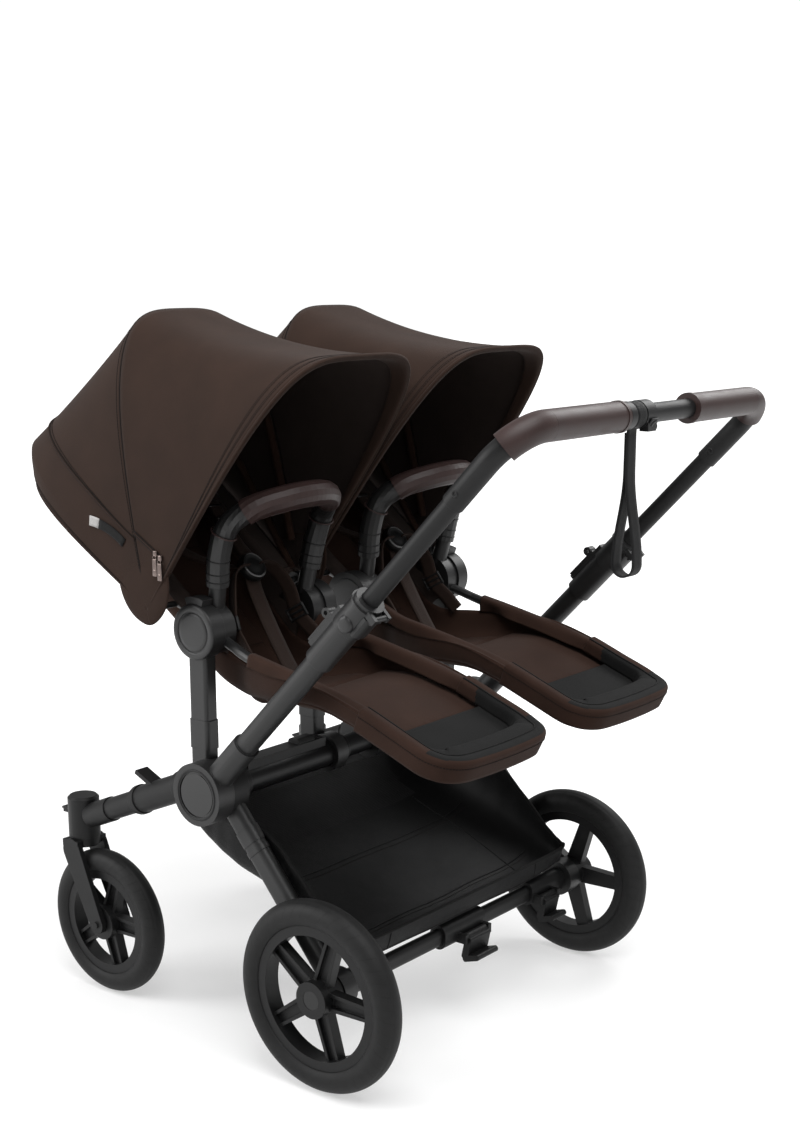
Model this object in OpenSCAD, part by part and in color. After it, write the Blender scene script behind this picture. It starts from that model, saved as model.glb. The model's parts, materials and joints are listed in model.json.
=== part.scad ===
// Side by side double stroller: folding chassis, two reclining seats with canopies, basket and handlebar.
// Front (travel direction) is -Y, the pushing handle is at +Y, +X is the left side, +Z is up.

/* [Chassis] */
// Width over the outer faces of the rear tyres
overall_w = 740; // [730:1:760]
// Distance from the front wheel axle to the rear wheel axle
wheelbase = 527; // [510:1:545]
// Height of the fold hub axis
hub_h = 427; // [420:1:440]
// Distance of the fold hub axis ahead of the rear axle
hub_ahead = 233; // [225:1:240]
// Diameter of the fixed hub housing
hub_d = 92; // [86:1:96]
// Diameter of the turning outer hub ring
ring_d = 100; // [96:1:106]
// Inner face of the hub housing, from the middle of the stroller
housing_x = 296; // [294:1:298]
// Width of the hub housing
housing_w = 37; // [35:1:38]
// Width of the outer hub ring
ring_w = 34; // [30:1:36]
// Diameter of the pivot boss in the outer ring
boss_d = 60; // [54:1:64]
// Diameter of the glossy hub cap
cap_d = 72; // [68:1:78]
// Diameter of the cross tube sleeve
cross_sleeve_d = 47; // [44:1:50]
// Diameter of the cross tube slider
cross_slider_d = 38; // [34:1:40]
// Where the cross tube sleeve ends, left of the middle
cross_sleeve_end = 28; // [20:1:36]

/* [Front arms and casters] */
// Distance between the two caster axes
caster_track = 592; // [584:1:600]
// Distance of the caster axis ahead of the front wheel axle
caster_trail = 55; // [48:1:60]
// Diameter of the caster barrel
barrel_d = 54; // [50:1:58]
// Height of the caster barrel's lower end
barrel_z = 270; // [269:1:276]
// Length of the caster barrel
barrel_len = 72; // [68:1:80]
// Diameter of the fork stem
stem_d = 20; // [16:1:22]
// Diameter of the front arm sleeve
arm_sleeve_d = 46; // [42:1:48]
// Diameter of the front arm forging
arm_d = 38; // [34:1:42]

/* [Wheels] */
// Diameter of the rear wheels
rear_wheel_d = 304; // [298:1:310]
// Width of the rear tyres
rear_tyre_w = 44; // [40:1:46]
// Diameter of the front wheels
front_wheel_d = 253; // [248:1:256]
// Width of the front tyres
front_tyre_w = 40; // [36:1:42]
// Radial depth of the rim ring
rim_depth = 15; // [12:1:18]
// Number of spokes
spokes = 5; // [4:1:6]
// Diameter of the wheel axles
axle_d = 12; // [10:1:14]
// Diameter of the wheel hubs
wheel_hub_d = 58; // [54:1:64]
// Diameter of the rear wheel release button
button_d = 30; // [26:1:34]
// Thickness of each fork leg
fork_leg_t = 9; // [8:1:11]

/* [Handle] */
// Slope of the handle above the horizontal
handle_angle = 46; // [44:1:48]
// Distance from the hub axis to the push bar
handle_len = 820; // [800:1:850]
// Distance between the two handle tubes
handle_span = 686; // [682:1:690]
// Diameter of the socket at the hub
socket_d = 43; // [40:1:44]
// End of the socket, from the hub axis
socket_end = 125; // [110:1:140]
// Diameter of the lower handle tubes
lower_tube_d = 35; // [32:1:36]
// Top end of the lower handle tubes, from the hub axis
lower_tube_end = 470; // [455:1:485]
// Diameter of the upper handle tubes
upper_tube_d = 28; // [24:1:30]
// Length of upper tube held inside the lower tube
insert_len = 115; // [100:1:125]
// Diameter of the clamp collars
collar_d = 48; // [45:1:50]
// Length of the clamp collars
collar_len = 138; // [125:1:145]
// Radius of the corner bends of the push bar
bend_r = 65; // [55:1:80]
// Diameter of the corner sleeves
elbow_d = 33; // [31:1:35]
// Diameter of the leatherette grips
grip_d = 43; // [38:1:46]
// Inner end of each grip, from the middle
grip_end = 96; // [92:1:120]
// Width of the wrist strap webbing
strap_w = 25; // [20:1:28]
// Length of the hanging wrist strap loop
strap_len = 205; // [180:1:220]

/* [Seats] */
// Distance between the middles of the two seats
seat_pitch = 364; // [362:1:366]
// Distance of the seat pivots ahead of the rear axle
seat_ahead = 270; // [266:1:276]
// Height of the seat pivots
seat_pivot_h = 672; // [665:1:680]
// Size of the seat posts across the stroller
post_w = 26; // [22:1:27]
// Size of the seat posts along the stroller
post_t = 38; // [30:1:40]
// Diameter of the seat hub discs
disc_d = 87; // [80:1:90]
// Diameter of the seat pivot pins
pivot_d = 24; // [20:1:28]
// Half the width of the leg rest box
seat_half_w = 134; // [130:1:135]
// Thickness of the seat fabric with its lining
shell_t = 5; // [4:0.5:6]
// Thickness of the padded seat liner
pad_t = 20; // [16:1:24]
// Diameter of the seat frame tubes
frame_d = 16; // [14:1:18]
// Diameter of the bumper bar legs
bumper_d = 36; // [32:1:38]
// Diameter of the bumper bar grip
bumper_grip_d = 41; // [36:1:44]
// Width of the harness webbing
web_w = 25; // [22:1:28]

/* [Canopies] */
// Half the width of a canopy
canopy_half_w = 178; // [174:1:180]
// Distance of the canopy pivots ahead of the rear axle
canopy_ahead = 335; // [330:1:340]
// Height of the canopy pivots
canopy_pivot_h = 705; // [700:1:712]
// Angle of the front brim above the horizontal
brim_angle = 53; // [50:1:56]
// Distance from the canopy pivot to the top of the brim
brim_r = 485; // [475:1:490]
// Angle of the middle bow
mid_angle = 101; // [98:1:104]
// Distance from the canopy pivot to the top of the middle bow
mid_r = 458; // [445:1:465]
// Angle of the upper back edge
back_angle = 144; // [140:1:147]
// Distance from the canopy pivot to the upper back edge
back_r = 418; // [400:1:424]
// Angle of the skirt's lower edge
skirt_angle = 150; // [147:1:153]
// Distance from the canopy pivot to the skirt's lower edge
skirt_r = 380; // [370:1:386]
// Thickness of the canopy fabric
canopy_t = 3; // [2:0.5:4]
// Squareness of the canopy arches
canopy_square = 4.2; // [3.4:0.1:5]

/* [Basket] */
// Half the width of the basket
basket_half_w = 295.6; // [290:0.1:295.6]
// Thickness of the basket fabric
basket_t = 4; // [3:0.5:5]

/* [Fits] */
// Radial clearance of turning and sliding fits
fit = 0.06; // [0.02:0.01:0.1]
// Clearance between neighbouring pieces
gap = 0.4; // [0.3:0.1:0.6]

/* [Hidden] */
$fn = 48;

// Colours of the real finishes
satin_black = "#2b2b2c";
frame_grey = "#4a4a4a";
gloss_black = "#151515";
tyre_black = "#1d1d1d";
brown_cloth = "#3e302b";
dark_cloth = "#2a2220";
charcoal_cloth = "#2c2d2c";
black_nylon = "#1a1a1a";
brown_leather = "#4b3f3d";

// Places that follow from the driving sizes
rear_r = rear_wheel_d / 2;
front_r = front_wheel_d / 2;
cuff_d = upper_tube_d + 12;
bar_reach = handle_len * cos(handle_angle) - hub_ahead + max(cuff_d, grip_d + 2) / 2;
nose_reach = max(wheelbase + front_r, canopy_ahead - back_r * cos(back_angle));
rear_axle_y = (nose_reach - bar_reach) / 2;
front_axle_y = rear_axle_y - wheelbase;
hub_y = rear_axle_y - hub_ahead;
caster_x = caster_track / 2;
caster_y = front_axle_y - caster_trail;
rear_wheel_x = overall_w / 2 - rear_tyre_w / 2;
handle_x = handle_span / 2;
housing_end = housing_x + housing_w;
ring_start = housing_end + gap;
ring_end = ring_start + ring_w;
seat_x = seat_pitch / 2;
seat_y = rear_axle_y - seat_ahead;
pin_y = rear_axle_y - canopy_ahead;
post_start = housing_x;
post_end = post_start + post_w;
disc_start = post_start + 4;
disc_end = post_end + 4;
barrel_top = barrel_z + barrel_len;

// Seat hub ring, on the inner side of each disc, as distances from the seat's middle
hub_ring_w = 27;
hub_ring_out = disc_start - gap - seat_x;
hub_ring_in = hub_ring_out - hub_ring_w;
hub_ring_d = disc_d - 7;

// Front arm axis, from the hub housing to the caster barrel
arm_start = [housing_x + 20, hub_y - 37, hub_h + 5];
arm_finish = [caster_x + 2, caster_y + 24, barrel_z + 40];
stub_share = 0.17;
sleeve_share = 0.56;
function arm_point(share) = arm_start + (arm_finish - arm_start) * share;

// Rear leg direction
leg_angle = atan2(rear_r - hub_h, hub_ahead);
leg_len = norm([hub_ahead, rear_r - hub_h]);
leg_w = 40;
leg_t = 25;

// Smooth step from 0 to 1
function ease(u) = u * u * (3 - 2 * u);
// Powers that keep the sign, for squared arches
function sign_pow(v, p) = sign(v) * pow(abs(v), p);
// Arch across a width, as [offset, height], for a turn of 0 to 180 degrees
function arch(turn, half_w, rise, square) =
    [half_w * sign_pow(cos(turn), 2 / square), rise * pow(max(sin(turn), 0.0001), 2 / square)];
// Table of values read between its rows, each row being [key, value, ...]
function between(a, b, u) = a + (b - a) * u;
function flatten(lists) = [for (l = lists) for (p = l) p];
function unit(v) = v / norm(v);
// Point on a smooth curve through four neighbours
function curve_point(a, b, c, d, u) =
    0.5 * ((2 * b) + (c - a) * u + (2 * a - 5 * b + 4 * c - d) * u * u + (3 * b - a - 3 * c + d) * u * u * u);
// Smooth curve through a list of points, with so many steps between two points
function curve(pts, steps) = concat(
    [for (i = [0 : len(pts) - 2]) for (k = [0 : steps - 1])
        curve_point(pts[max(i - 1, 0)], pts[i], pts[i + 1], pts[min(i + 2, len(pts) - 1)], k / steps)],
    [pts[len(pts) - 1]]);
function signed_volume(points, faces) =
    [for (f = faces) cross(points[f[0]], points[f[1]]) * points[f[2]]] * [for (f = faces) 1];

// Polyhedron whose faces are turned to point outwards
module closed_solid(points, faces) {
    outward = signed_volume(points, faces) > 0;
    polyhedron(points, outward ? [for (f = faces) [f[2], f[1], f[0]]] : faces);
}

// Two matching grids of points joined into one closed sheet
module sheet_solid(outer, inner) {
    rows = len(outer) - 1;
    cols = len(outer[0]) - 1;
    step = cols + 1;
    under = (rows + 1) * step;
    faces = concat(
        [for (i = [0 : rows - 1]) for (j = [0 : cols - 1])
            [i * step + j, (i + 1) * step + j, (i + 1) * step + j + 1]],
        [for (i = [0 : rows - 1]) for (j = [0 : cols - 1])
            [i * step + j, (i + 1) * step + j + 1, i * step + j + 1]],
        [for (i = [0 : rows - 1]) for (j = [0 : cols - 1])
            [under + i * step + j, under + (i + 1) * step + j + 1, under + (i + 1) * step + j]],
        [for (i = [0 : rows - 1]) for (j = [0 : cols - 1])
            [under + i * step + j, under + i * step + j + 1, under + (i + 1) * step + j + 1]],
        [for (j = [0 : cols - 1]) [j, j + 1, under + j + 1]],
        [for (j = [0 : cols - 1]) [j, under + j + 1, under + j]],
        [for (j = [0 : cols - 1]) [rows * step + j + 1, rows * step + j, under + rows * step + j]],
        [for (j = [0 : cols - 1])
            [rows * step + j + 1, under + rows * step + j, under + rows * step + j + 1]],
        [for (i = [0 : rows - 1]) [(i + 1) * step, i * step, under + i * step]],
        [for (i = [0 : rows - 1]) [(i + 1) * step, under + i * step, under + (i + 1) * step]],
        [for (i = [0 : rows - 1]) [i * step + cols, (i + 1) * step + cols, under + (i + 1) * step + cols]],
        [for (i = [0 : rows - 1]) [i * step + cols, under + (i + 1) * step + cols, under + i * step + cols]]);
    closed_solid(concat(flatten(outer), flatten(inner)), faces);
}

// Closed rings of points joined into one solid with fanned ends
module loft(rings) {
    count = len(rings);
    n = len(rings[0]);
    ones = [for (p = rings[0]) 1];
    first_mid = ones * rings[0] / n;
    last_mid = ones * rings[count - 1] / n;
    faces = concat(
        [for (i = [0 : count - 2]) for (j = [0 : n - 1])
            [i * n + j, (i + 1) * n + j, (i + 1) * n + (j + 1) % n]],
        [for (i = [0 : count - 2]) for (j = [0 : n - 1])
            [i * n + j, (i + 1) * n + (j + 1) % n, i * n + (j + 1) % n]],
        [for (j = [0 : n - 1]) [count * n, j, (j + 1) % n]],
        [for (j = [0 : n - 1]) [count * n + 1, (count - 1) * n + (j + 1) % n, (count - 1) * n + j]]);
    closed_solid(concat(flatten(rings), [first_mid, last_mid]), faces);
}

// Round tube swept along a path, or along a run of its points
module sweep(path, d, sides = 14, from = 0, to = -1) {
    last = len(path) - 1;
    loft([for (i = [from : to < 0 ? last : to])
        let (dir = unit(path[min(i + 1, last)] - path[max(i - 1, 0)]),
             side = unit(cross(dir, [0, 1, 0.2])),
             up = cross(side, dir))
        [for (k = [0 : sides - 1])
            path[i] + (side * cos(360 * k / sides) + up * sin(360 * k / sides)) * d / 2]]);
}

// Flat webbing laid along a path in a plane across the width
module webbing(path, w, t) {
    last = len(path) - 1;
    loft([for (i = [0 : last])
        let (dir = unit(path[min(i + 1, last)] - path[max(i - 1, 0)]),
             side = unit(cross(dir, [0, -0.6, 0.8])),
             up = cross(side, dir))
        [for (c = [[-1, -1], [1, -1], [1, 1], [-1, 1]]) path[i] + side * c[0] * w / 2 + up * c[1] * t / 2]]);
}

// Straight round bar between two points
module bar(a, b, d) {
    v = b - a;
    translate(a)
        rotate([0, acos(v[2] / norm(v)), atan2(v[1], v[0])])
            cylinder(d = d, h = norm(v));
}

// Round bar across the stroller
module x_rod(x0, x1, d, y, z) {
    translate([x0, y, z])
        rotate([0, 90, 0])
            cylinder(d = d, h = x1 - x0);
}

// Outline with round ends
module stadium(t, w) {
    square([t, w - t], center = true);
    for (s = [-1, 1])
        translate([0, s * (w - t) / 2])
            circle(d = t);
}

// Rectangle with round corners
module round_rect(w, h, r) {
    square([w - 2 * r, h], center = true);
    square([w, h - 2 * r], center = true);
    for (sx = [-1, 1])
        for (sy = [-1, 1])
            translate([sx * (w / 2 - r), sy * (h / 2 - r)])
                circle(r = r);
}

// Two circles joined by their outer tangents, from the origin along +X
module link_outline(r1, r2, len) {
    lean = asin((r1 - r2) / len);
    circle(r = r1);
    translate([len, 0])
        circle(r = r2);
    polygon([
        r1 * [sin(lean), cos(lean)],
        [len, 0] + r2 * [sin(lean), cos(lean)],
        [len, 0] + r2 * [sin(lean), -cos(lean)],
        r1 * [sin(lean), -cos(lean)]
    ]);
}

// A left-hand shape and its mirror image
module pair() {
    children();
    mirror([1, 0, 0])
        children();
}

// Frame whose Z axis runs up the handle from the hub axis
module handle_frame() {
    translate([0, hub_y, hub_h])
        rotate([handle_angle - 90, 0, 0])
            children();
}

// Fixed hub housings with pivot bosses, arm stubs, leg lugs and cross tube collars
module hub_housings() {
    color(satin_black)
        pair()
            difference() {
                union() {
                    x_rod(housing_x, housing_end, hub_d, hub_y, hub_h);
                    x_rod(housing_x, ring_end - 7 - gap, boss_d, hub_y, hub_h);
                    x_rod(housing_x - 26, housing_x, cross_sleeve_d + 10, hub_y, hub_h);
                    difference() {
                        bar(arm_start + [0, 15, 0], arm_point(stub_share), arm_sleeve_d + 6);
                        x_rod(housing_end, ring_end, ring_d + 3, hub_y, hub_h);
                    }
                }
                x_rod(housing_x - 27, housing_x - 2, cross_sleeve_d + 2 * fit, hub_y, hub_h);
                leg_outline(60, leg_t + 2 * fit, leg_w + 2 * fit);
                post_blank(post_w + 2 * fit, post_t + 2 * fit);
                bar(arm_point(stub_share), arm_point(stub_share + 0.12), arm_sleeve_d + 14);
            }
}

// Straight part of a rear leg from a distance below the hub axis
module leg_outline(from, t, w) {
    translate([housing_x + 1 + leg_t / 2, hub_y, hub_h])
        rotate([leg_angle, 0, 0])
            translate([0, from - 25, 0])
                rotate([-90, 0, 0])
                    linear_extrude(leg_len - from - 5)
                        stadium(t, w);
}

// Upright body of an outer seat post
module post_blank(w, t) {
    translate([post_start + post_w / 2, seat_y, hub_h + 12])
        linear_extrude(seat_pivot_h - hub_h - disc_d / 2 + 6)
            round_rect(w, t, 6);
}

// Front arms: sleeve, ring, forging and caster barrel
module front_arms() {
    color(satin_black)
        pair()
            difference() {
                union() {
                    bar(arm_point(stub_share), arm_point(sleeve_share), arm_sleeve_d);
                    bar(arm_point(sleeve_share - 0.05), arm_point(sleeve_share - 0.02), arm_sleeve_d + 4);
                    bar(arm_point(sleeve_share), arm_point(1), arm_d);
                    bar(arm_point(0.8), arm_point(1), arm_d + 4);
                    translate([caster_x, caster_y, barrel_z])
                        cylinder(d = barrel_d, h = barrel_len - 4);
                    translate([caster_x, caster_y, barrel_top - 4])
                        cylinder(d1 = barrel_d, d2 = barrel_d - 8, h = 4);
                    lock_ears();
                    arm_tab();
                }
                translate([caster_x, caster_y, barrel_z - 1])
                    cylinder(d = stem_d + 2 * fit, h = barrel_len - 12);
            }
}

// Thin release tab lying on top of the arm sleeve
module arm_tab() {
    top = arm_point(0.42);
    translate([top[0], top[1], top[2] + arm_sleeve_d / 2 - 2])
        rotate([-24, 0, 0])
            translate([-13, -34, 0])
                cube([26, 52, 7]);
}

// Ears on the caster barrel that hold the swivel lock's pin
lock_y = caster_y - barrel_d / 2 - 7;
lock_z = barrel_z + 42;
lock_pin_d = 4;
lock_half_w = 7;
module lock_ears() {
    for (s = [-1, 1])
        translate([caster_x + s * (lock_half_w + gap + 2.5) - 2.5, lock_y - 5, lock_z - 5])
            cube([5, 20, 10]);
    x_rod(caster_x - lock_half_w - 3, caster_x + lock_half_w + 3, lock_pin_d, lock_y, lock_z);
}

// Pointed swivel lock tab, turning on its pin
module left_swivel_lock() {
    color(satin_black)
        difference() {
            translate([caster_x - lock_half_w, lock_y, lock_z])
                rotate([90, 0, 90])
                    linear_extrude(2 * lock_half_w)
                        union() {
                            circle(d = 11);
                            polygon([[1, 5.5], [-4, 5.2], [-15, 1], [-15, -2], [-4, -5.2], [1, -5.5]]);
                        }
            x_rod(caster_x - 20, caster_x + 20, lock_pin_d + 2 * fit, lock_y, lock_z);
        }
}

module right_swivel_lock() {
    mirror([1, 0, 0])
        left_swivel_lock();
}

// Rear legs with bands, axle brackets and stub axles
module rear_legs() {
    color(frame_grey)
        pair()
            union() {
                leg_outline(60, leg_t, leg_w);
                translate([housing_x + 1 + leg_t / 2, hub_y, hub_h])
                    rotate([leg_angle, 0, 0])
                        for (place = [78, 112])
                            translate([0, place, 0])
                                rotate([-90, 0, 0])
                                    linear_extrude(place == 78 ? 26 : 9)
                                        stadium(leg_t + 2, leg_w + 3);
                x_rod(housing_x, rear_hub_in - 1.5, wheel_hub_d + 4, rear_axle_y, rear_r);
                x_rod(housing_x, rear_hub_in + 28, axle_d, rear_axle_y, rear_r);
            }
}

// Outer seat posts with seat hub discs and pivot pins
module seat_post() {
    difference() {
        post_blank(post_w, post_t);
        x_rod(post_start - 1, disc_start, hub_ring_d + 4, seat_y, seat_pivot_h);
    }
    x_rod(disc_start, disc_end, disc_d, seat_y, seat_pivot_h);
    x_rod(disc_end, disc_end + 1.2, disc_d - 22, seat_y, seat_pivot_h);
    x_rod(seat_x + hub_ring_in + 2, disc_start, pivot_d, seat_y, seat_pivot_h);
    translate([post_start + post_w / 2, seat_y, hub_h + 58])
        linear_extrude(46)
            round_rect(post_w + 2, post_t + 4, 7);
}

module outer_seat_posts() {
    color(frame_grey)
        pair()
            seat_post();
}

// Inner seat posts on saddles round the cross tube
module inner_seat_posts() {
    color(frame_grey)
        for (s = [1, -1])
            mirror([s > 0 ? 0 : 1, 0, 0])
                difference() {
                    union() {
                        translate([2 * seat_x, 0, 0])
                            mirror([1, 0, 0])
                                seat_post();
                        x_rod(saddle_in, saddle_in + post_w, cross_sleeve_d + 18, hub_y, hub_h);
                        translate([saddle_in, seat_y - post_t / 2, hub_h])
                            cube([post_w, seat_ahead - hub_ahead + post_t / 2, 20]);
                    }
                    x_rod(saddle_in - 1, saddle_in + post_w + 1,
                        (s > 0 ? cross_sleeve_d : cross_slider_d) + 2 * fit, hub_y, hub_h);
                }
}
saddle_in = 2 * seat_x - post_end;

// Cross tube: sleeve from the left hub, slider from the right hub
module cross_tube_sleeve() {
    color(black_nylon)
        difference() {
            union() {
                x_rod(cross_sleeve_end, housing_x - 2 - gap, cross_sleeve_d, hub_y, hub_h);
                x_rod(cross_sleeve_end, cross_sleeve_end + 8, cross_sleeve_d + 3, hub_y, hub_h);
            }
            x_rod(cross_sleeve_end - 1, housing_x - 20, cross_slider_d + 2 * fit, hub_y, hub_h);
        }
}

module cross_tube_slider() {
    color(black_nylon) {
        x_rod(2 - housing_x + gap, housing_x - 60, cross_slider_d, hub_y, hub_h);
        x_rod(2 - housing_x + gap, 40 - housing_x, cross_sleeve_d, hub_y, hub_h);
    }
}

// Grooved flat rail on the cross tube sleeve, with its small carry grip
rail_in = saddle_in + post_w + 12;
rail_out = housing_x - 30;
module cross_rail() {
    color(satin_black)
        difference() {
            union() {
                translate([rail_in, hub_y - 15, hub_h + 8])
                    cube([rail_out - rail_in, 30, cross_sleeve_d / 2 + 2]);
                translate([rail_in + 26, hub_y, hub_h + cross_sleeve_d / 2 + 10])
                    rotate([0, 90, 0])
                        linear_extrude(36)
                            stadium(16, 26);
            }
            x_rod(rail_in - 1, rail_out + 1, cross_sleeve_d + 2 * fit, hub_y, hub_h);
            for (groove = [-9, 0, 9])
                translate([rail_in - 1, hub_y + groove - 1, hub_h + cross_sleeve_d / 2 + 8.5])
                    cube([24, 2, 3]);
        }
}

// Oval rear axle tube
axle_tube_t = 20;
axle_tube_w = 30;
module axle_oval(x0, x1, grow) {
    translate([x0, rear_axle_y, rear_r])
        rotate([90, 0, 90])
            linear_extrude(x1 - x0)
                stadium(axle_tube_t + grow, axle_tube_w + grow);
}

module rear_axle_tube() {
    color(satin_black)
        axle_oval(gap - housing_x, housing_x - gap, 0);
}

// End sleeves of the rear axle and the housing that carries the two levers
centre_half = 56;
brake_in = -262;
brake_out = -196;
lever_pin_d = 6;
lever_pin_y = rear_axle_y + 24;
lever_pin_z = rear_r - 8;
module axle_housings() {
    color(satin_black)
        difference() {
            union() {
                axle_oval(rear_wheel_x - 116, housing_x - gap, 12);
                axle_oval(gap - housing_x, brake_out, 12);
                axle_oval(-centre_half, centre_half, 12);
                lever_ears(brake_in + 4, brake_out - 4);
                lever_ears(6 - centre_half, centre_half - 34);
            }
            axle_oval(-housing_x - 1, housing_x + 1, 2 * fit);
        }
}

// Two ears and the pin between them
module lever_ears(x0, x1) {
    for (x = [x0, x1 - 8])
        translate([x, rear_axle_y + 8, lever_pin_z - 8])
            cube([8, 24, 16]);
    x_rod(x0 + 1, x1 - 1, lever_pin_d, lever_pin_y, lever_pin_z);
}

// Hooked foot lever turning on a pin across the axle
module foot_lever(x0, x1) {
    difference() {
        translate([x0, lever_pin_y, lever_pin_z])
            rotate([90, 0, 90])
                linear_extrude(x1 - x0)
                    union() {
                        circle(d = 15);
                        translate([3, -18])
                            rotate([0, 0, -12])
                                round_rect(13, 40, 4);
                        translate([12, -34])
                            rotate([0, 0, 18])
                                round_rect(34, 10, 4.5);
                    }
        x_rod(x0 - 1, x1 + 1, lever_pin_d + 2 * fit, lever_pin_y, lever_pin_z);
    }
}

module brake_pedal() {
    color(satin_black)
        foot_lever(brake_in + 12 + gap, brake_out - 12 - gap);
}

module width_lock_lever() {
    color(satin_black)
        foot_lever(14 - centre_half + gap, centre_half - 42 - gap);
}

// Lower edge, half width and wall height of the basket at places along the stroller
basket_rows = [
    [-378, 372, 262, 6],
    [-350, 334, 272, 44],
    [-300, 300, 284, 78],
    [-235, 270, basket_half_w, 122],
    [-156, 244, basket_half_w, 134],
    [-80, 214, basket_half_w, 74],
    [-25, 190, basket_half_w, 36],
    [12, 182, basket_half_w - 2, 20]
];
// Fall of the basket floor between its seams
function basket_sag(u) = 9 * sin(180 * u) * sin(180 * u);
function basket_row(row, t, sag) = [for (turn = [0 : 9 : 180])
    let (a = arch(turn, row[2] - t, row[3] - t, 6),
         fall = sag * sin(turn) * sin(turn))
    [a[0], row[0] + rear_axle_y, row[1] + row[3] - a[1] - fall]];
module basket() {
    rows = curve(basket_rows, 2);
    count = len(rows) - 1;
    color(black_nylon)
        sheet_solid(
            [for (i = [0 : count]) basket_row(rows[i], 0, basket_sag(i / count))],
            [for (i = [0 : count]) basket_row(rows[i], basket_t, basket_sag(i / count))]);
}

// Lower handle tube with its hub ring and socket
module lower_handle() {
    difference() {
        union() {
            x_rod(ring_start, ring_end, ring_d, hub_y, hub_h);
            difference() {
                handle_frame()
                    translate([handle_x, 0, 20])
                        cylinder(d = socket_d, h = socket_end - 20);
                x_rod(housing_x, ring_start, hub_d + 3, hub_y, hub_h);
            }
            handle_frame()
                translate([handle_x, 0, socket_end - 1])
                    cylinder(d = lower_tube_d, h = lower_tube_end - socket_end + 1);
        }
        x_rod(ring_start - 1, ring_end + 1, boss_d + 2 * fit, hub_y, hub_h);
        x_rod(ring_end - 7, ring_end + 1, cap_d + 2 * fit, hub_y, hub_h);
        handle_frame()
            translate([handle_x, 0, socket_end + 105])
                cylinder(d = upper_tube_d + 2 * fit, h = lower_tube_end);
    }
}

module left_handle_tube() {
    color(frame_grey)
        lower_handle();
}

module right_handle_tube() {
    color(frame_grey)
        mirror([1, 0, 0])
            lower_handle();
}

// Glossy caps in the hub rings
module hub_caps() {
    color(gloss_black)
        pair() {
            x_rod(ring_end - 7, ring_end - 2, cap_d, hub_y, hub_h);
            x_rod(ring_end - 2, ring_end - 1, cap_d - 4, hub_y, hub_h);
        }
}

// Clamp collars round the tops of the lower handle tubes
collar_start = lower_tube_end + 6 - collar_len;
collar_end = lower_tube_end + 6;
track_half = 9;
track_out = collar_d / 2 + 4;
track_end = collar_end - 44;
clamp_pin_y = collar_d / 2 + 5;
clamp_pin_z = collar_end - 7;
clamp_pin_d = 4;
module handle_collar() {
    difference() {
        union() {
            translate([0, 0, collar_start])
                cylinder(d = collar_d - 4, h = collar_len * 0.56);
            translate([0, 0, collar_start + collar_len * 0.56])
                cylinder(d = collar_d, h = collar_len * 0.44 - 10);
            difference() {
                translate([0, 0, collar_end - 11])
                    cylinder(d = collar_d + 4, h = 4);
                x_rod(-12, 12, 9 + 4 * gap, clamp_pin_y, clamp_pin_z);
            }
            translate([0, 0, collar_end - 7])
                cylinder(d = collar_d - 2, h = 7);
            translate([-track_half, -track_out, collar_start + 10])
                cube([2 * track_half, 20, collar_len - 54]);
            translate([collar_d / 2 - 7.5, 0, collar_end - 38])
                sphere(d = 20);
            for (s = [-1, 1])
                translate([s * 15 - 3, collar_d / 2 - 8, clamp_pin_z - 5])
                    cube([6, 18, 10]);
            translate([-16, clamp_pin_y, clamp_pin_z])
                rotate([0, 90, 0])
                    cylinder(d = clamp_pin_d, h = 32);
        }
        translate([0, 0, collar_start - 1])
            cylinder(d = lower_tube_d + 2 * fit, h = lower_tube_end - collar_start + 1 + fit);
        translate([0, 0, collar_end - 10])
            cylinder(d = upper_tube_d + 4 * fit, h = 20);
    }
}

module handle_collars() {
    color(frame_grey)
        pair()
            handle_frame()
                translate([handle_x, 0, 0])
                    handle_collar();
}

// Clamp lever: a curved plate behind the collar, turning on the pin under the flange
lever_t = 4;
lever_len = 44;
module clamp_lever() {
    lever_in = collar_d / 2 + gap;
    color(frame_grey)
        handle_frame()
            translate([handle_x, 0, 0])
                difference() {
                    union() {
                        intersection() {
                            translate([0, 0, clamp_pin_z - lever_len])
                                difference() {
                                    cylinder(r = lever_in + lever_t, h = lever_len - 7);
                                    translate([0, 0, -1])
                                        cylinder(r = lever_in, h = lever_len);
                                }
                            translate([-18, 0, clamp_pin_z - lever_len - 1])
                                cube([36, 60, lever_len + 2]);
                        }
                        translate([-12 + gap, clamp_pin_y, clamp_pin_z])
                            rotate([0, 90, 0])
                                cylinder(d = 9, h = 24 - 2 * gap);
                        translate([-12 + gap, lever_in + 1, clamp_pin_z - 12])
                            cube([24 - 2 * gap, lever_t, 12]);
                    }
                    translate([-20, clamp_pin_y, clamp_pin_z])
                        rotate([0, 90, 0])
                            cylinder(d = clamp_pin_d + 2 * fit, h = 40);
                    translate([0, 0, clamp_pin_z - 7])
                        cylinder(r = collar_d / 2 + 2 + gap, h = 14);
                }
}

module left_clamp_lever() {
    clamp_lever();
}

module right_clamp_lever() {
    mirror([1, 0, 0])
        clamp_lever();
}

// Fold trigger: a plate with a finger loop, sliding up the collar's track
trigger_t = 3.5;
trigger_len = 62;
module fold_trigger() {
    color(frame_grey)
        handle_frame()
            translate([handle_x, -track_out - gap, collar_start + 12])
                difference() {
                    union() {
                        translate([1 - track_half, -trigger_t, 0])
                            cube([2 * track_half - 2, trigger_t, trigger_len]);
                        translate([1 - track_half, -trigger_t - 4.5, trigger_len - 8])
                            rotate([0, 90, 0])
                                cylinder(d = 15, h = 2 * track_half - 2);
                    }
                    translate([-track_half, -trigger_t - 4.5, trigger_len - 8])
                        rotate([0, 90, 0])
                            cylinder(d = 7, h = 2 * track_half);
                    translate([-track_half, 0, 0])
                        cube([2 * track_half, 20, trigger_len]);
                }
}

module left_fold_trigger() {
    fold_trigger();
}

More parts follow.
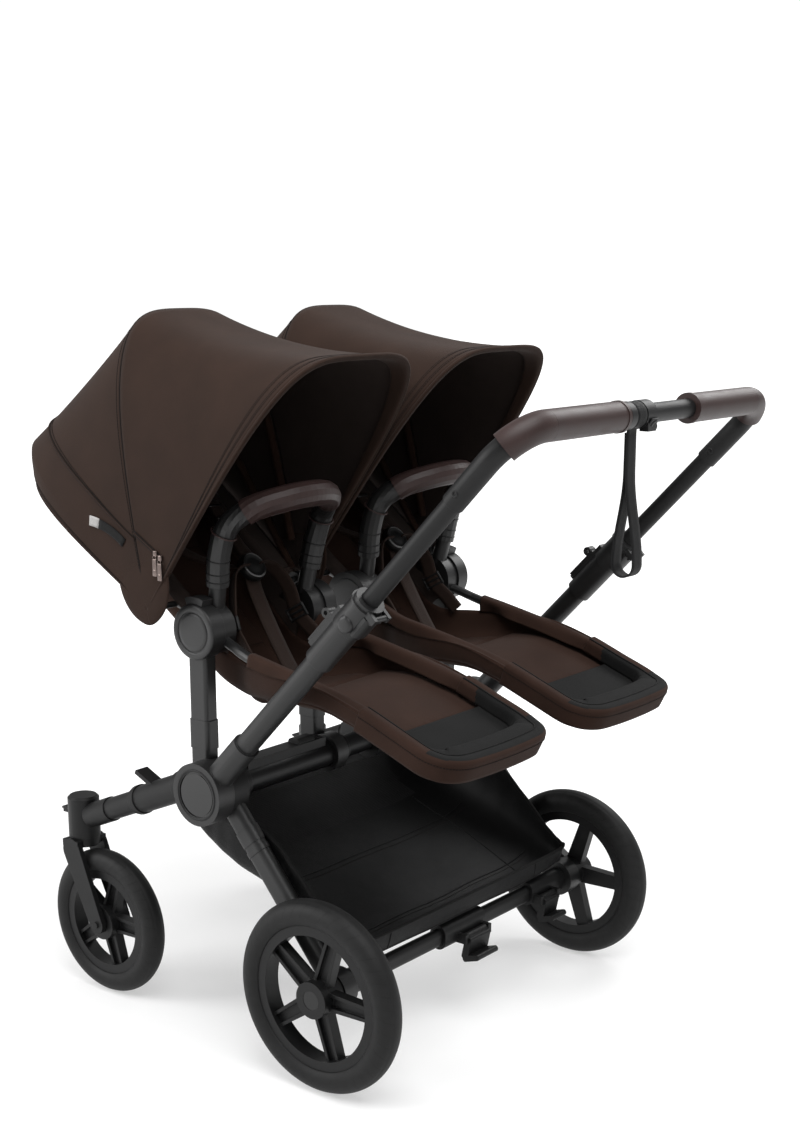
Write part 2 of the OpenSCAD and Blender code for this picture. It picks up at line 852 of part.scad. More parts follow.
module right_fold_trigger() {
    mirror([1, 0, 0])
        fold_trigger();
}

// U-shaped upper handle tube with corner sleeves
elbow_start = handle_len - bend_r - 76;
elbow_turn = 28;
// Turn left open at the sewn joint between the curved and straight parts of a grip
grip_seam = 0.2;
module bar_bend(turn0, turn1, d) {
    translate([handle_x - bend_r, 0, handle_len - bend_r])
        rotate([90, 0, 0])
            rotate([0, 0, turn0])
                rotate_extrude(angle = turn1 - turn0)
                    translate([bend_r, 0])
                        circle(d = d);
}

module handlebar_tube() {
    color(satin_black)
        handle_frame() {
            pair() {
                translate([handle_x, 0, lower_tube_end - insert_len])
                    cylinder(d = upper_tube_d, h = handle_len - bend_r - lower_tube_end + insert_len);
                bar_bend(0, 90, upper_tube_d);
                translate([handle_x, 0, elbow_start])
                    cylinder(d = elbow_d, h = handle_len - bend_r - elbow_start);
                bar_bend(0, elbow_turn, elbow_d);
            }
            translate([bend_r - handle_x, 0, handle_len])
                rotate([0, 90, 0])
                    cylinder(d = upper_tube_d, h = handle_span - 2 * bend_r);
        }
}

// Leatherette grip round a corner and along the push bar
module grip() {
    color(brown_leather)
        handle_frame() {
            translate([handle_x - bend_r, 0, handle_len - bend_r])
                rotate([90, 0, 0])
                    rotate([0, 0, elbow_turn])
                        rotate_extrude(angle = 90 - grip_seam - elbow_turn)
                            translate([bend_r, 0])
                                difference() {
                                    circle(d = grip_d);
                                    circle(d = upper_tube_d + 2 * fit);
                                }
            difference() {
                union() {
                    translate([grip_end, 0, handle_len])
                        rotate([0, 90, 0])
                            cylinder(d = grip_d, h = handle_x - bend_r - grip_end);
                    translate([grip_end, 0, handle_len])
                        rotate([0, 90, 0])
                            cylinder(d = grip_d + 2, h = 7);
                }
                translate([grip_end - 1, 0, handle_len])
                    rotate([0, 90, 0])
                        cylinder(d = upper_tube_d + 2 * fit, h = handle_x - bend_r - grip_end + 2);
            }
        }
}

module left_grip() {
    grip();
}

module right_grip() {
    mirror([1, 0, 0])
        grip();
}

// Strap holder: a wrapped cuff with a closing flap and a snap
strap_x = 63;
cuff_out = grip_end - 5;
cuff_in = 24;
bar_y = hub_y + handle_len * cos(handle_angle);
bar_z = hub_h + handle_len * sin(handle_angle);
module strap_holder() {
    color(gloss_black)
        difference() {
            union() {
                x_rod(strap_x + strap_w / 2 + 1, cuff_out, cuff_d, bar_y, bar_z);
                x_rod(cuff_in, strap_x - strap_w / 2 - 1, cuff_d, bar_y, bar_z);
                x_rod(cuff_in + 4, cuff_out - 2, cuff_d - 6, bar_y, bar_z);
                translate([cuff_in, bar_y + 4, bar_z - cuff_d / 2 - 3])
                    cube([22, 14, 12]);
                x_rod(cuff_in - 3, cuff_in + 2, 14, bar_y + 11, bar_z - cuff_d / 2 + 3);
            }
            x_rod(cuff_in - 10, cuff_out + 1, upper_tube_d + 2 * fit, bar_y, bar_z);
        }
}

// Wrist strap: a loop of webbing hanging from the cuff
strap_t = 2.4;
loop_r = 17;
neck_len = 62;
module strap_profile(shrink, top) {
    union() {
        polygon([
            [0.3, top],
            [loop_r - shrink, loop_r - strap_len],
            [shrink - loop_r, loop_r - strap_len],
            [-0.3, top]
        ]);
        translate([0, loop_r - strap_len])
            circle(r = loop_r - shrink);
    }
}

module wrist_strap() {
    eye_d = cuff_d - 6 + 2 * gap;
    color(black_nylon)
        translate([strap_x, bar_y, bar_z])
            rotate([90, 0, 90])
                difference() {
                    union() {
                        cylinder(d = eye_d + 2 * strap_t, h = strap_w, center = true);
                        translate([-strap_t, -eye_d / 2 - neck_len, -strap_w / 2])
                            cube([2 * strap_t, neck_len, strap_w]);
                        linear_extrude(strap_w, center = true)
                            strap_profile(0, -eye_d / 2 - 30);
                    }
                    cylinder(d = eye_d, h = strap_w + 2, center = true);
                    linear_extrude(strap_w + 2, center = true)
                        strap_profile(strap_t, -eye_d / 2 - neck_len);
                }
}

// Tyre with a round section and two shoulder grooves, turning about X
module tyre(r, w, x, y) {
    seat_r = r - w * 0.86;
    translate([x, y, r])
        rotate([0, 90, 0])
            rotate_extrude($fn = 96)
                difference() {
                    translate([r - w / 2, 0])
                        circle(d = w);
                    translate([0, -w])
                        square([seat_r, 2 * w]);
                    for (s = [-1, 1])
                        translate([r - 3.2, s * w * 0.23])
                            circle(d = 2.4);
                }
}

// Spoked rim with a tapered hub, turning about X
module rim(r, w, x, y, hub_w, bore) {
    seat_r = r - w * 0.86 - fit;
    rim_w = w * 0.66;
    spoke_t = 17;
    translate([x, y, r])
        rotate([0, 90, 0])
            difference() {
                union() {
                    rotate_extrude($fn = 96)
                        translate([seat_r - rim_depth, -rim_w / 2])
                            square([rim_depth, rim_w]);
                    cylinder(d = wheel_hub_d, h = hub_w, center = true);
                    for (k = [0 : spokes - 1])
                        rotate([0, 0, 360 * k / spokes + 18])
                            spoke(seat_r - rim_depth / 2, spoke_t);
                }
                cylinder(d = bore + 2 * fit, h = hub_w + 2, center = true);
            }
}

// One spoke with raised edges
module spoke(reach, t) {
    root = wheel_hub_d * 0.3;
    translate([0, 0, -t / 2])
        linear_extrude(t - 6)
            polygon([[root, -15], [reach, -12], [reach, 12], [root, 15]]);
    for (s = [-1, 1])
        translate([0, 0, -t / 2])
            linear_extrude(t)
                polygon([[root, s * 15], [reach, s * 12], [reach, s * 7], [root, s * 9]]);
}

module left_rear_tyre() {
    color(tyre_black)
        tyre(rear_r, rear_tyre_w, rear_wheel_x, rear_axle_y);
}

module right_rear_tyre() {
    mirror([1, 0, 0])
        left_rear_tyre();
}

// Rear rim, with a pocket for the release button
rear_hub_w = 44;
rear_hub_in = rear_wheel_x - rear_hub_w / 2;
rear_hub_out = rear_wheel_x + rear_hub_w / 2;
pocket_depth = 11;
module left_rear_rim() {
    color(satin_black)
        difference() {
            rim(rear_r, rear_tyre_w, rear_wheel_x, rear_axle_y, rear_hub_w, axle_d);
            x_rod(rear_hub_out - pocket_depth, rear_hub_out + 1, button_d + 2 * fit, rear_axle_y, rear_r);
        }
}

module right_rear_rim() {
    mirror([1, 0, 0])
        left_rear_rim();
}

// Wheel release button in the rear hub
button_travel = 3;
module left_release_button() {
    color(gloss_black)
        x_rod(rear_hub_out - pocket_depth + button_travel + gap, rear_hub_out - 0.5, button_d,
            rear_axle_y, rear_r);
}

module right_release_button() {
    mirror([1, 0, 0])
        left_release_button();
}

module left_front_tyre() {
    color(tyre_black)
        tyre(front_r, front_tyre_w, caster_x, front_axle_y);
}

module right_front_tyre() {
    mirror([1, 0, 0])
        left_front_tyre();
}

front_hub_w = 42;
module left_front_rim() {
    color(satin_black)
        rim(front_r, front_tyre_w, caster_x, front_axle_y, front_hub_w, axle_d);
}

module right_front_rim() {
    mirror([1, 0, 0])
        left_front_rim();
}

// Two-legged caster fork with stem, crown and axle pin
fork_inside = front_hub_w / 2 + 2;
crown_t = 15;
fork_top_r = 21;
crown_top = barrel_z - gap;
module caster_fork() {
    leg_drop = crown_top - fork_top_r - front_r;
    leg_reach = norm([caster_trail, leg_drop]);
    color(satin_black) {
        translate([caster_x, caster_y, crown_top - crown_t])
            cylinder(d = stem_d, h = barrel_len + crown_t - 16);
        translate([caster_x, caster_y, crown_top - crown_t])
            cylinder(d = barrel_d - 3, h = crown_t);
        translate([caster_x - fork_inside - fork_leg_t, caster_y - 21, crown_top - crown_t])
            cube([2 * (fork_inside + fork_leg_t), 38, crown_t - 3]);
        for (side = [-fork_inside - fork_leg_t, fork_inside])
            translate([caster_x + side, caster_y, crown_top - fork_top_r])
                rotate([atan2(-leg_drop, caster_trail), 0, 0])
                    rotate([90, 0, 90])
                        linear_extrude(fork_leg_t)
                            link_outline(fork_top_r, 16, leg_reach);
        x_rod(caster_x - fork_inside - fork_leg_t - 3, caster_x + fork_inside + fork_leg_t + 3, axle_d,
            front_axle_y, front_r);
    }
}

module left_caster_fork() {
    caster_fork();
}

module right_caster_fork() {
    mirror([1, 0, 0])
        caster_fork();
}

// Seat shapes below are drawn for the left seat; the right one is its mirror image
// Bottom line of the seat sling: [place from the rear axle, height, half width, wall height, wall lean,
// how far the lining stands back from the leg rest's end]
shell_rows = [
    [-592, 862, 112, 40, 47, 0],
    [-500, 776, 106, 46, 47, 0],
    [-412, 694, 96, 54, 49, 0],
    [-346, 634, 86, 62, 58, 0],
    [-290, 584, 84, 70, 76, 0],
    [-236, 562, 84, 76, 90, 0],
    [-178, 566, 108, 70, 98, 0],
    [-110, 576, 130, 58, 96, 0],
    [-40, 580, seat_half_w - 1, 50, 84, 0],
    [30, 564, seat_half_w, 48, 70, 0],
    [100, 538, seat_half_w, 48, 68, 0],
    [150, 519, seat_half_w, 48, 68, 0],
    [180, 508, seat_half_w - 8, 46, 68, 0.4],
    [200, 510, seat_half_w - 34, 37, 68, 1],
    [210, 526, seat_half_w - 68, 20, 68, 1.3]
];
function shell_row(row, t) = [for (turn = [0 : 15 : 180])
    let (a = arch(turn, row[2] - t, row[3] - t, 6),
         lift = row[3] - a[1],
         back = row[5] * t)
    [seat_x + a[0], row[0] - back + rear_axle_y + lift * cos(row[4]), row[1] + lift * sin(row[4])]];

module seat_shell() {
    rows = curve(shell_rows, 2);
    color(brown_cloth)
        sheet_solid([for (r = rows) shell_row(r, 0)], [for (r = rows) shell_row(r, shell_t)]);
}

module left_seat_shell() {
    seat_shell();
}

module right_seat_shell() {
    mirror([1, 0, 0])
        seat_shell();
}

// Padded liner on the sling, crowned, drawn in at its sides and sewn across in channels
channels = 5;
function pad_thickness(u) = pad_t * (0.45 + 0.55 * pow(abs(sin(180 * channels * u)), 0.5));
// Rise of the sling's lining at a share of its half width
function lining_rise(share, rise) = rise * (1 - pow(1 - pow(share, 6), 1 / 6));
function pad_ring(row, u) =
    let (inside = row[2] - shell_t,
         w = inside - 14 - 4 * abs(cos(180 * channels * u)),
         h = pad_thickness(u),
         out = [cos(row[4]), sin(row[4])],
         base = [row[0] + rear_axle_y, row[1]] + (shell_t + 2.4) * out)
    concat(
        [for (k = [-5 : 5])
            let (share = abs(k) / 5,
                 crown = base + (h * (1 - 0.7 * pow(share, 4)) + 6 * pow(share, 8)) * out)
            [seat_x + w * k / 5, crown[0], crown[1]]],
        [for (k = [4.8, 3.6, 2, -2, -3.6, -4.8])
            let (low = base + lining_rise(w * abs(k) / 4.85 / inside, row[3] - shell_t) * out)
            [seat_x + w * k / 5, low[0], low[1]]]);

module seat_pad() {
    rows = curve([for (i = [0 : 7]) shell_rows[i]], 4);
    last = len(rows) - 1;
    color(dark_cloth)
        loft([for (i = [0 : last]) pad_ring(rows[i], i / last)]);
}

module left_seat_pad() {
    seat_pad();
}

module right_seat_pad() {
    mirror([1, 0, 0])
        seat_pad();
}

// Seat frame: hub rings, back loop, leg loop, bumper sockets and canopy pins
leg_rail = [
    [104, -262, 664], [112, -214, 650], [118, -168, 636], [118, -60, 616], [118, 60, 588], [118, 140, 556],
    [108, 172, 544], [86, 184, 539], [0, 186, 538]
];
back_rail = [
    [104, -286, 690], [110, -340, 726], [112, -560, 912], [100, -584, 932], [70, -594, 940], [0, -594, 940]
];
function seat_place(p) = [seat_x + p[0], p[1] + rear_axle_y, p[2]];
canopy_pin_d = 10;
canopy_pin_out = canopy_half_w - canopy_t - 8;
bumper_base = [106, -253, 742];
module half_frame() {
    difference() {
        union() {
            x_rod(seat_x + hub_ring_in, seat_x + hub_ring_out, hub_ring_d, seat_y, seat_pivot_h);
            x_rod(seat_x + 106, seat_x + canopy_pin_out, canopy_pin_d, pin_y, canopy_pivot_h);
            bar(seat_place(back_rail[0]) + [0, 0, 0], [seat_x + 109, pin_y, canopy_pivot_h + 4], frame_d + 6);
            bar(seat_place([102.5, -262, 700]), seat_place(bumper_base), bumper_d - 9);
            sweep([for (p = curve(leg_rail, 2)) seat_place(p)], frame_d, 10);
            sweep([for (p = curve(back_rail, 2)) seat_place(p)], frame_d, 10);
        }
        x_rod(seat_x, seat_x + hub_ring_out + 1, pivot_d + 2 * fit, seat_y, seat_pivot_h);
    }
}

module seat_frame() {
    color(frame_grey) {
        half_frame();
        translate([2 * seat_x, 0, 0])
            mirror([1, 0, 0])
                half_frame();
    }
}

module left_seat_frame() {
    seat_frame();
}

module right_seat_frame() {
    mirror([1, 0, 0])
        seat_frame();
}

// Bumper bar: two legs from the hub sockets, with the grip arched between them
bumper_half = [bumper_base, [111, -244, 790], [110, -226, 834], [90, -196, 862], [46, -168, 876]];
bumper_top = [0, -158, 880];
bumper_other = [for (i = [len(bumper_half) - 1 : -1 : 0])
    [-bumper_half[i][0], bumper_half[i][1], bumper_half[i][2]]];
bumper_path = [for (p = curve(concat(bumper_half, [bumper_top], bumper_other), 5)) seat_place(p)];
bumper_last = len(bumper_path) - 1;
grip_from = 14;
module bumper_bar() {
    color(frame_grey) {
        sweep(bumper_path, bumper_d, 14, 0, grip_from);
        sweep(bumper_path, bumper_d, 14, bumper_last - grip_from, bumper_last);
    }
}

module left_bumper_bar() {
    bumper_bar();
}

module right_bumper_bar() {
    mirror([1, 0, 0])
        bumper_bar();
}

module bumper_grip() {
    color(brown_leather)
        sweep(bumper_path, bumper_grip_d, 14, grip_from, bumper_last - grip_from);
}

module left_bumper_grip() {
    bumper_grip();
}

module right_bumper_grip() {
    mirror([1, 0, 0])
        bumper_grip();
}

// Recline lever: a curved block riding on the rim of the outer seat hub disc
lever_span = 42;
module recline_lever() {
    color(frame_grey)
        translate([disc_start + 2, seat_y, seat_pivot_h])
            rotate([90, 0, 90])
                rotate([0, 0, 90 - lever_span / 2])
                    rotate_extrude(angle = lever_span)
                        translate([disc_d / 2 + gap, 0])
                            square([11, disc_end - disc_start - 4]);
}

module left_recline_lever() {
    recline_lever();
}

module right_recline_lever() {
    mirror([1, 0, 0])
        recline_lever();
}

// Harness: shoulder straps, waist straps, crotch strap and round buckle above the liner
buckle = [0, -262, 640];
buckle_d = 48;
shoulder = [[44, -536, 836], [42, -520, 834], [40, -440, 768], [33, -350, 700], [10, -272, 646]];
waist = [[66, -306, 622], [58, -296, 636], [40, -280, 641], [12, -264, 642]];
crotch = [[0, -264, 642], [0, -226, 622], [0, -196, 600], [0, -188, 588]];
function harness_path(points, s) = [for (p = curve(points, 3)) seat_place([s * p[0], p[1], p[2]])];
module harness() {
    color(dark_cloth)
        union() {
            for (s = [-1, 1]) {
                webbing(harness_path(shoulder, s), web_w, 3);
                webbing(harness_path(waist, s), web_w, 3);
            }
            webbing(harness_path(crotch, 1), web_w + 6, 4);
            translate(seat_place(buckle))
                rotate([-34, 0, 0])
                    cylinder(d = buckle_d, h = 16, center = true);
        }
}

module left_harness() {
    harness();
}

module right_harness() {
    mirror([1, 0, 0])
        harness();
}

// Canopy arches, all meeting at the pivot on each side
turns = concat([0.05], [for (t = [10 : 10 : 170]) t], [179.95]);
function canopy_row(angle, r, t) = [for (turn = turns)
    let (a = arch(turn, canopy_half_w - t, r - t, canopy_square))
    [seat_x + a[0], pin_y + a[1] * cos(angle), canopy_pivot_h + a[1] * sin(angle)]];
// Tight front panel: straight threads between two arches, drawn in between them
front_rows = 7;
front_sag = 9;
function front_row(u, t) =
    let (a = canopy_row(mid_angle, mid_r, t),
         b = canopy_row(brim_angle, brim_r, t),
         dip = front_sag * 4 * u * (1 - u))
    [for (j = [0 : len(turns) - 1])
        let (p = between(a[j], b[j], u), pull = dip * sin(turns[j]))
        p - pull * [0, cos((mid_angle + brim_angle) / 2), sin((mid_angle + brim_angle) / 2)]];
module canopy_front() {
    color(brown_cloth)
        sheet_solid(
            [for (i = [0 : front_rows]) front_row(i / front_rows, 0)],
            [for (i = [0 : front_rows]) front_row(i / front_rows, canopy_t)]);
}

module left_canopy_front() {
    canopy_front();
}

module right_canopy_front() {
    mirror([1, 0, 0])
        canopy_front();
}

// Back of the canopy: from the middle bow down to the upper back edge, then the skirt
back_rows = 5;
seam_gap = 0.12;
function back_row(u, t) =
    let (a = canopy_row(mid_angle + seam_gap, mid_r, t), b = canopy_row(back_angle, back_r, t))
    [for (j = [0 : len(turns) - 1]) between(a[j], b[j], u)];
function skirt_row(t) = canopy_row((back_angle + skirt_angle) / 2, (back_r + skirt_r) / 2 + 4, t);
function back_grid(t) = concat(
    [for (i = [0 : back_rows]) back_row(i / back_rows, t)],
    [skirt_row(t), canopy_row(skirt_angle, skirt_r, t)]);
module canopy_back() {
    color(brown_cloth)
        sheet_solid(back_grid(0), back_grid(canopy_t));
}

module left_canopy_back() {
    canopy_back();
}

module right_canopy_back() {
    mirror([1, 0, 0])
        canopy_back();
}

// Front bow: a flat strip under the brim, turning on the canopy pins
bow_t = 3;
bow_share = 0.045;
bow_in = canopy_pin_out - 9;
module canopy_bow() {
    lay = canopy_t + gap + 0.4;
    lean = brim_angle + 1.3;
    up = [0, cos(lean), sin(lean)];
    pivot = [seat_x, pin_y, canopy_pivot_h];
    color(satin_black)
        difference() {
            union() {
                sheet_solid(
                    [for (u = [1 - bow_share, 0.992]) front_row(u, lay)],
                    [for (u = [1 - bow_share, 0.992]) front_row(u, lay + bow_t)]);
                for (s = [-1, 1]) {
                    translate(pivot + [s * (bow_in + canopy_pin_out) / 2, 0, 0])
                        rotate([0, 90, 0])
                            cylinder(d = 26, h = canopy_pin_out - bow_in, center = true);
                    bar(pivot + [s * (bow_in + 4), 0, 0] + 8 * up,
                        pivot + [s * (canopy_half_w - lay - 3), 0, 0] + 60 * up, 5);
                }
            }
            x_rod(seat_x - canopy_half_w, seat_x + canopy_half_w, canopy_pin_d + 2 * fit,
                pin_y, canopy_pivot_h);
        }
}

module left_canopy_bow() {
    canopy_bow();
}

module right_canopy_bow() {
    mirror([1, 0, 0])
        canopy_bow();
}

hub_housings();
front_arms();
rear_legs();
outer_seat_posts();
inner_seat_posts();
cross_tube_sleeve();
cross_tube_slider();
cross_rail();
rear_axle_tube();
axle_housings();
basket();
left_handle_tube();
right_handle_tube();
hub_caps();
handle_collars();
handlebar_tube();
left_grip();
right_grip();
strap_holder();
wrist_strap();
left_clamp_lever();
right_clamp_lever();
left_fold_trigger();
right_fold_trigger();
left_caster_fork();
right_caster_fork();
left_front_tyre();
right_front_tyre();
left_front_rim();
right_front_rim();
left_rear_tyre();
right_rear_tyre();
left_rear_rim();
right_rear_rim();
left_release_button();
right_release_button();
left_swivel_lock();
right_swivel_lock();
brake_pedal();
width_lock_lever();
left_seat_frame();
right_seat_frame();
left_seat_shell();
right_seat_shell();
left_seat_pad();
right_seat_pad();
left_harness();
right_harness();
left_bumper_bar();
right_bumper_bar();
left_bumper_grip();
right_bumper_grip();
left_recline_lever();
right_recline_lever();
left_canopy_bow();
right_canopy_bow();
left_canopy_front();
right_canopy_front();
left_canopy_back();
right_canopy_back();
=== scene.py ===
"""Side by side double stroller: finishes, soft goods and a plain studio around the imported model."""

from __future__ import annotations

import json
import logging
import math
from dataclasses import dataclass
from enum import Enum
from typing import Callable, Iterable, Sequence

import bmesh
import bpy
import numpy as np
from mathutils import Matrix, Vector

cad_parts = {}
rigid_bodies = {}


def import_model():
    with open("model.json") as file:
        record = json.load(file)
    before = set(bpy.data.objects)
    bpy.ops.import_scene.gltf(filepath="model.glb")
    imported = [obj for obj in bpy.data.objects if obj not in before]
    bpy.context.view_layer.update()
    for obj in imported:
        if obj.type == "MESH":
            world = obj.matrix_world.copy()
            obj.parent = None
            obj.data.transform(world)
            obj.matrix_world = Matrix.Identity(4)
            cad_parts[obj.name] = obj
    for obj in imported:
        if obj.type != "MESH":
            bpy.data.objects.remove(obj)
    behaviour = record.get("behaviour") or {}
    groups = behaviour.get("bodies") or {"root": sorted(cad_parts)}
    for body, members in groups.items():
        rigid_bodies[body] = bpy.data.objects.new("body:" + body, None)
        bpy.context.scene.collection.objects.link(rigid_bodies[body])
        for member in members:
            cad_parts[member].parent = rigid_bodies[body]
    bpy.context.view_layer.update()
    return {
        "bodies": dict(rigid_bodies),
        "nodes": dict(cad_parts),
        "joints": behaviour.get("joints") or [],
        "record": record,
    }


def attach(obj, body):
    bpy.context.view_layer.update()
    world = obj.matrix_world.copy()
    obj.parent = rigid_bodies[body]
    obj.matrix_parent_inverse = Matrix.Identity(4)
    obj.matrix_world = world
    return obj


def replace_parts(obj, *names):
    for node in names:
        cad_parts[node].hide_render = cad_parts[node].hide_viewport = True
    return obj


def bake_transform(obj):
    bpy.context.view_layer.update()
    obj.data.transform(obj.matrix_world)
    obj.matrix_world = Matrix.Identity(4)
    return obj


LOG = logging.getLogger("stroller")
MM = 0.001
AXLE_Y = 157.0246
SEAT_X = 182.0
HUB = (-233.0, 427.0)
PUSH_BAR = (336.62, 1016.86)
HANDS = ((1.0, "outer"), (-1.0, "inner"))
OUT = Vector((1.0, 0.0, 0.0))
UP = Vector((0.0, 0.0, 1.0))
FULL_TURN = 2 * math.pi
SEWN_MM = 4.6
STRAP_SLOPE = (0.25, 0.8, 0.6)
SEAT_SLOPE = 42.0
WELD = 1e-6

Object = bpy.types.Object
Socket = bpy.types.NodeSocket
Point = Sequence[float]
Surface = Callable[[float, float], Vector]
Carry = Callable[[Object, "Side"], None]


def at(x: float, y: float, z: float) -> Vector:
    """A place in metres, from millimetres left of the middle, behind the rear axle and above the floor."""
    return Vector((x * MM, (y + AXLE_Y) * MM, z * MM))


def on_seat_at(hand: float, spot: Point) -> Vector:
    """A place in metres, from millimetres off a seat's middle, behind the rear axle and above the floor."""
    return at(SEAT_X + hand * spot[0], spot[1], spot[2])


def lean(degrees: float) -> Vector:
    """A step of one in the side view, at degrees up from straight back."""
    return Vector((0.0, math.cos(math.radians(degrees)), math.sin(math.radians(degrees))))


def clamp(value: float) -> float:
    """A value held between 0 and 1."""
    return min(max(value, 0.0), 1.0)


def ease(share: float) -> float:
    """A share from 0 to 1 that starts and ends gently."""
    return share * share * (3 - 2 * share)


def hump(share: float) -> float:
    """A rise to 1 in the middle of a share from 0 to 1."""
    return 4 * share * (1 - share)


def runs(points: Sequence[Vector]) -> np.ndarray:
    """Lengths along points, from the first to each of them."""
    return np.concatenate([[0.0], np.cumsum([(b - a).length for a, b in zip(points, points[1:])])])


def between(rows: Sequence, share: float) -> np.ndarray | float:
    """Values at a share of the way along a list.

    Args:
        rows: Numbers or rows of numbers.
        share: From 0 to 1.

    Returns:
        One number or one row.
    """
    place = share * (len(rows) - 1)
    i = min(int(place), len(rows) - 2)
    return rows[i] + (rows[i + 1] - rows[i]) * (place - i)


def smooth_path(points: Sequence[Point], steps: int) -> list[np.ndarray]:
    """A smooth curve through places or rows of values.

    Args:
        points: What it passes through.
        steps: Steps between two of them.

    Returns:
        The values along the curve.
    """
    rows = np.array(points, float)
    last = len(rows) - 1
    found: list[np.ndarray] = []
    for i in range(last):
        a, b, c, d = (rows[min(max(i + k, 0), last)] for k in (-1, 0, 1, 2))
        for u in np.arange(steps) / steps:
            bend = (2 * a - 5 * b + 4 * c - d) * u**2 + (3 * b - a - 3 * c + d) * u**3
            found.append(0.5 * (2 * b + (c - a) * u + bend))
    return [*found, rows[last]]


def arch(turn: float, half_w: float, rise: float, square: float) -> tuple[float, float]:
    """Sideways offset and height on a squared arch, at degrees from one foot to the other."""
    c, s = math.cos(math.radians(turn)), max(math.sin(math.radians(turn)), 1e-4)
    return math.copysign(half_w * abs(c) ** (2 / square), c), rise * s ** (2 / square)


def even_turns(count: int, half_w: float, rise: float, square: float, start: float = 0.5) -> list[float]:
    """Turns that lie evenly along a squared arch.

    Args:
        count: Steps along the arch.
        half_w: Half the width of the arch.
        rise: Height of the arch.
        square: How square the shoulders are.
        start: Degrees left out at each foot.

    Returns:
        One more turn than steps, in degrees.
    """
    fine = np.linspace(start, 180.0 - start, 1441)
    places = np.array([arch(t, half_w, rise, square) for t in fine])
    run = np.concatenate([[0.0], np.cumsum(np.linalg.norm(np.diff(places, axis=0), axis=1))])
    return [float(t) for t in np.interp(np.linspace(0.0, run[-1], count + 1), run, fine)]


class Weave(Enum):
    """Ways a cloth is made."""

    CANVAS = "canvas"
    TWILL = "twill"
    WEBBING = "webbing"
    NET = "net"


class NodeSheet:
    """Adds shader nodes to one new material.

    Attributes:
        mat: The material.
    """

    def __init__(self, name: str) -> None:
        """Makes a material with only its surface shader and output."""
        self.mat = bpy.data.materials.new(name)
        self.mat.use_nodes = True

    def feed(self, socket: Socket, value: object) -> None:
        """Gives an input another socket or a plain value.

        Args:
            socket: The input.
            value: The socket or value.
        """
        if isinstance(value, Socket):
            self.mat.node_tree.links.new(value, socket)
        else:
            socket.default_value = value

    def put(self, node: bpy.types.Node, **settings: object) -> bpy.types.Node:
        """Sets a node's properties and inputs.

        Args:
            node: The node.
            settings: Values or sockets by the name of a property, or of an input with _ for a blank.

        Returns:
            The node.
        """
        for key, value in settings.items():
            if hasattr(node, key):
                setattr(node, key, value)
            else:
                self.feed(node.inputs[key.replace("_", " ")], value)
        return node

    def add(self, kind: str, **settings: object) -> bpy.types.Node:
        """A new node with its properties and inputs."""
        return self.put(self.mat.node_tree.nodes.new(kind), **settings)

    def surface(self, **settings: object) -> bpy.types.Material:
        """Sets the surface shader's inputs and returns the material."""
        self.put(self.mat.node_tree.nodes["Principled BSDF"], **settings)
        return self.mat

    def math(self, kind: str, *values: object) -> Socket:
        """The result of an operation on sockets or numbers.

        Args:
            kind: The operation.
            values: Sockets or numbers.

        Returns:
            The result.
        """
        node = self.add("ShaderNodeMath", operation=kind)
        for value, socket in zip(values, node.inputs):
            self.feed(socket, value)
        return node.outputs[0]

    def total(self, *terms: tuple[Socket, float]) -> Socket:
        """The sum of sockets, each with its weight.

        Args:
            terms: Pairs of a socket and a weight.

        Returns:
            The sum.
        """
        sums = [self.math("MULTIPLY", *term) for term in terms]
        while len(sums) > 1:
            sums[:2] = [self.math("ADD", *sums[:2])]
        return sums[0]

    def vary(self, value: Socket, middle: float, span: float) -> Socket:
        """A number that a value from 0 to 1 moves over a span round its middle."""
        return self.math("ADD", self.math("MULTIPLY", value, span), middle - span / 2)

    def coords(self, kind: str) -> Socket:
        """Texture coordinates of one kind."""
        return self.add("ShaderNodeTexCoord").outputs[kind]

    def noise(self, place: Socket, size_mm: float, detail: float = 2.0) -> Socket:
        """Cloudy values from 0 to 1, with clouds of a given width."""
        scale = 1 / (size_mm * MM)
        return self.add("ShaderNodeTexNoise", Vector=place, Scale=scale, Detail=detail).outputs["Fac"]

    def threads(self, place: Socket, axis: str, pitch_mm: float) -> Socket:
        """Parallel threads across an axis, from 0 to 1 over each."""
        scale = 314.16 / pitch_mm
        return self.add("ShaderNodeTexWave", bands_direction=axis, Vector=place, Scale=scale).outputs["Fac"]

    def ramp(self, value: Socket, stops: Sequence[tuple[float, Point]]) -> Socket:
        """Colours for values.

        Args:
            value: From 0 to 1.
            stops: Places and colours.

        Returns:
            The colour.
        """
        node = self.add("ShaderNodeValToRGB", Fac=value)
        band = node.color_ramp.elements
        while len(band) < len(stops):
            band.new(0.5)
        for element, (place, colour) in zip(band, stops):
            element.position = place
            element.color = (*colour, 1.0)
        return node.outputs["Color"]

    def bump(self, height: Socket, depth_mm: float, **under: Socket) -> Socket:
        """A normal bumped by a height from 0 to 1, where Normal may name one to stand on."""
        node = self.add("ShaderNodeBump", Height=height, Strength=1.0, Distance=depth_mm * MM, **under)
        return node.outputs["Normal"]


@dataclass(frozen=True)
class Finish:
    """A finish that becomes one material.

    Attributes:
        name: The finish's name.
        colour: Linear colour.
    """

    name: str
    colour: tuple[float, float, float]

    def paint(self, sheet: NodeSheet) -> bpy.types.Material:
        """Draws the finish on an empty sheet."""
        raise NotImplementedError

    def material(self) -> bpy.types.Material:
        """The finish as a material, made once."""
        return bpy.data.materials.get(self.name) or self.paint(NodeSheet(self.name))

    def tones(self, *stops: tuple[float, float]) -> list[tuple[float, Point]]:
        """Colour stops, from pairs of a place and a factor of brightness."""
        return [(place, tuple(min(1.0, c * factor) for c in self.colour)) for place, factor in stops]


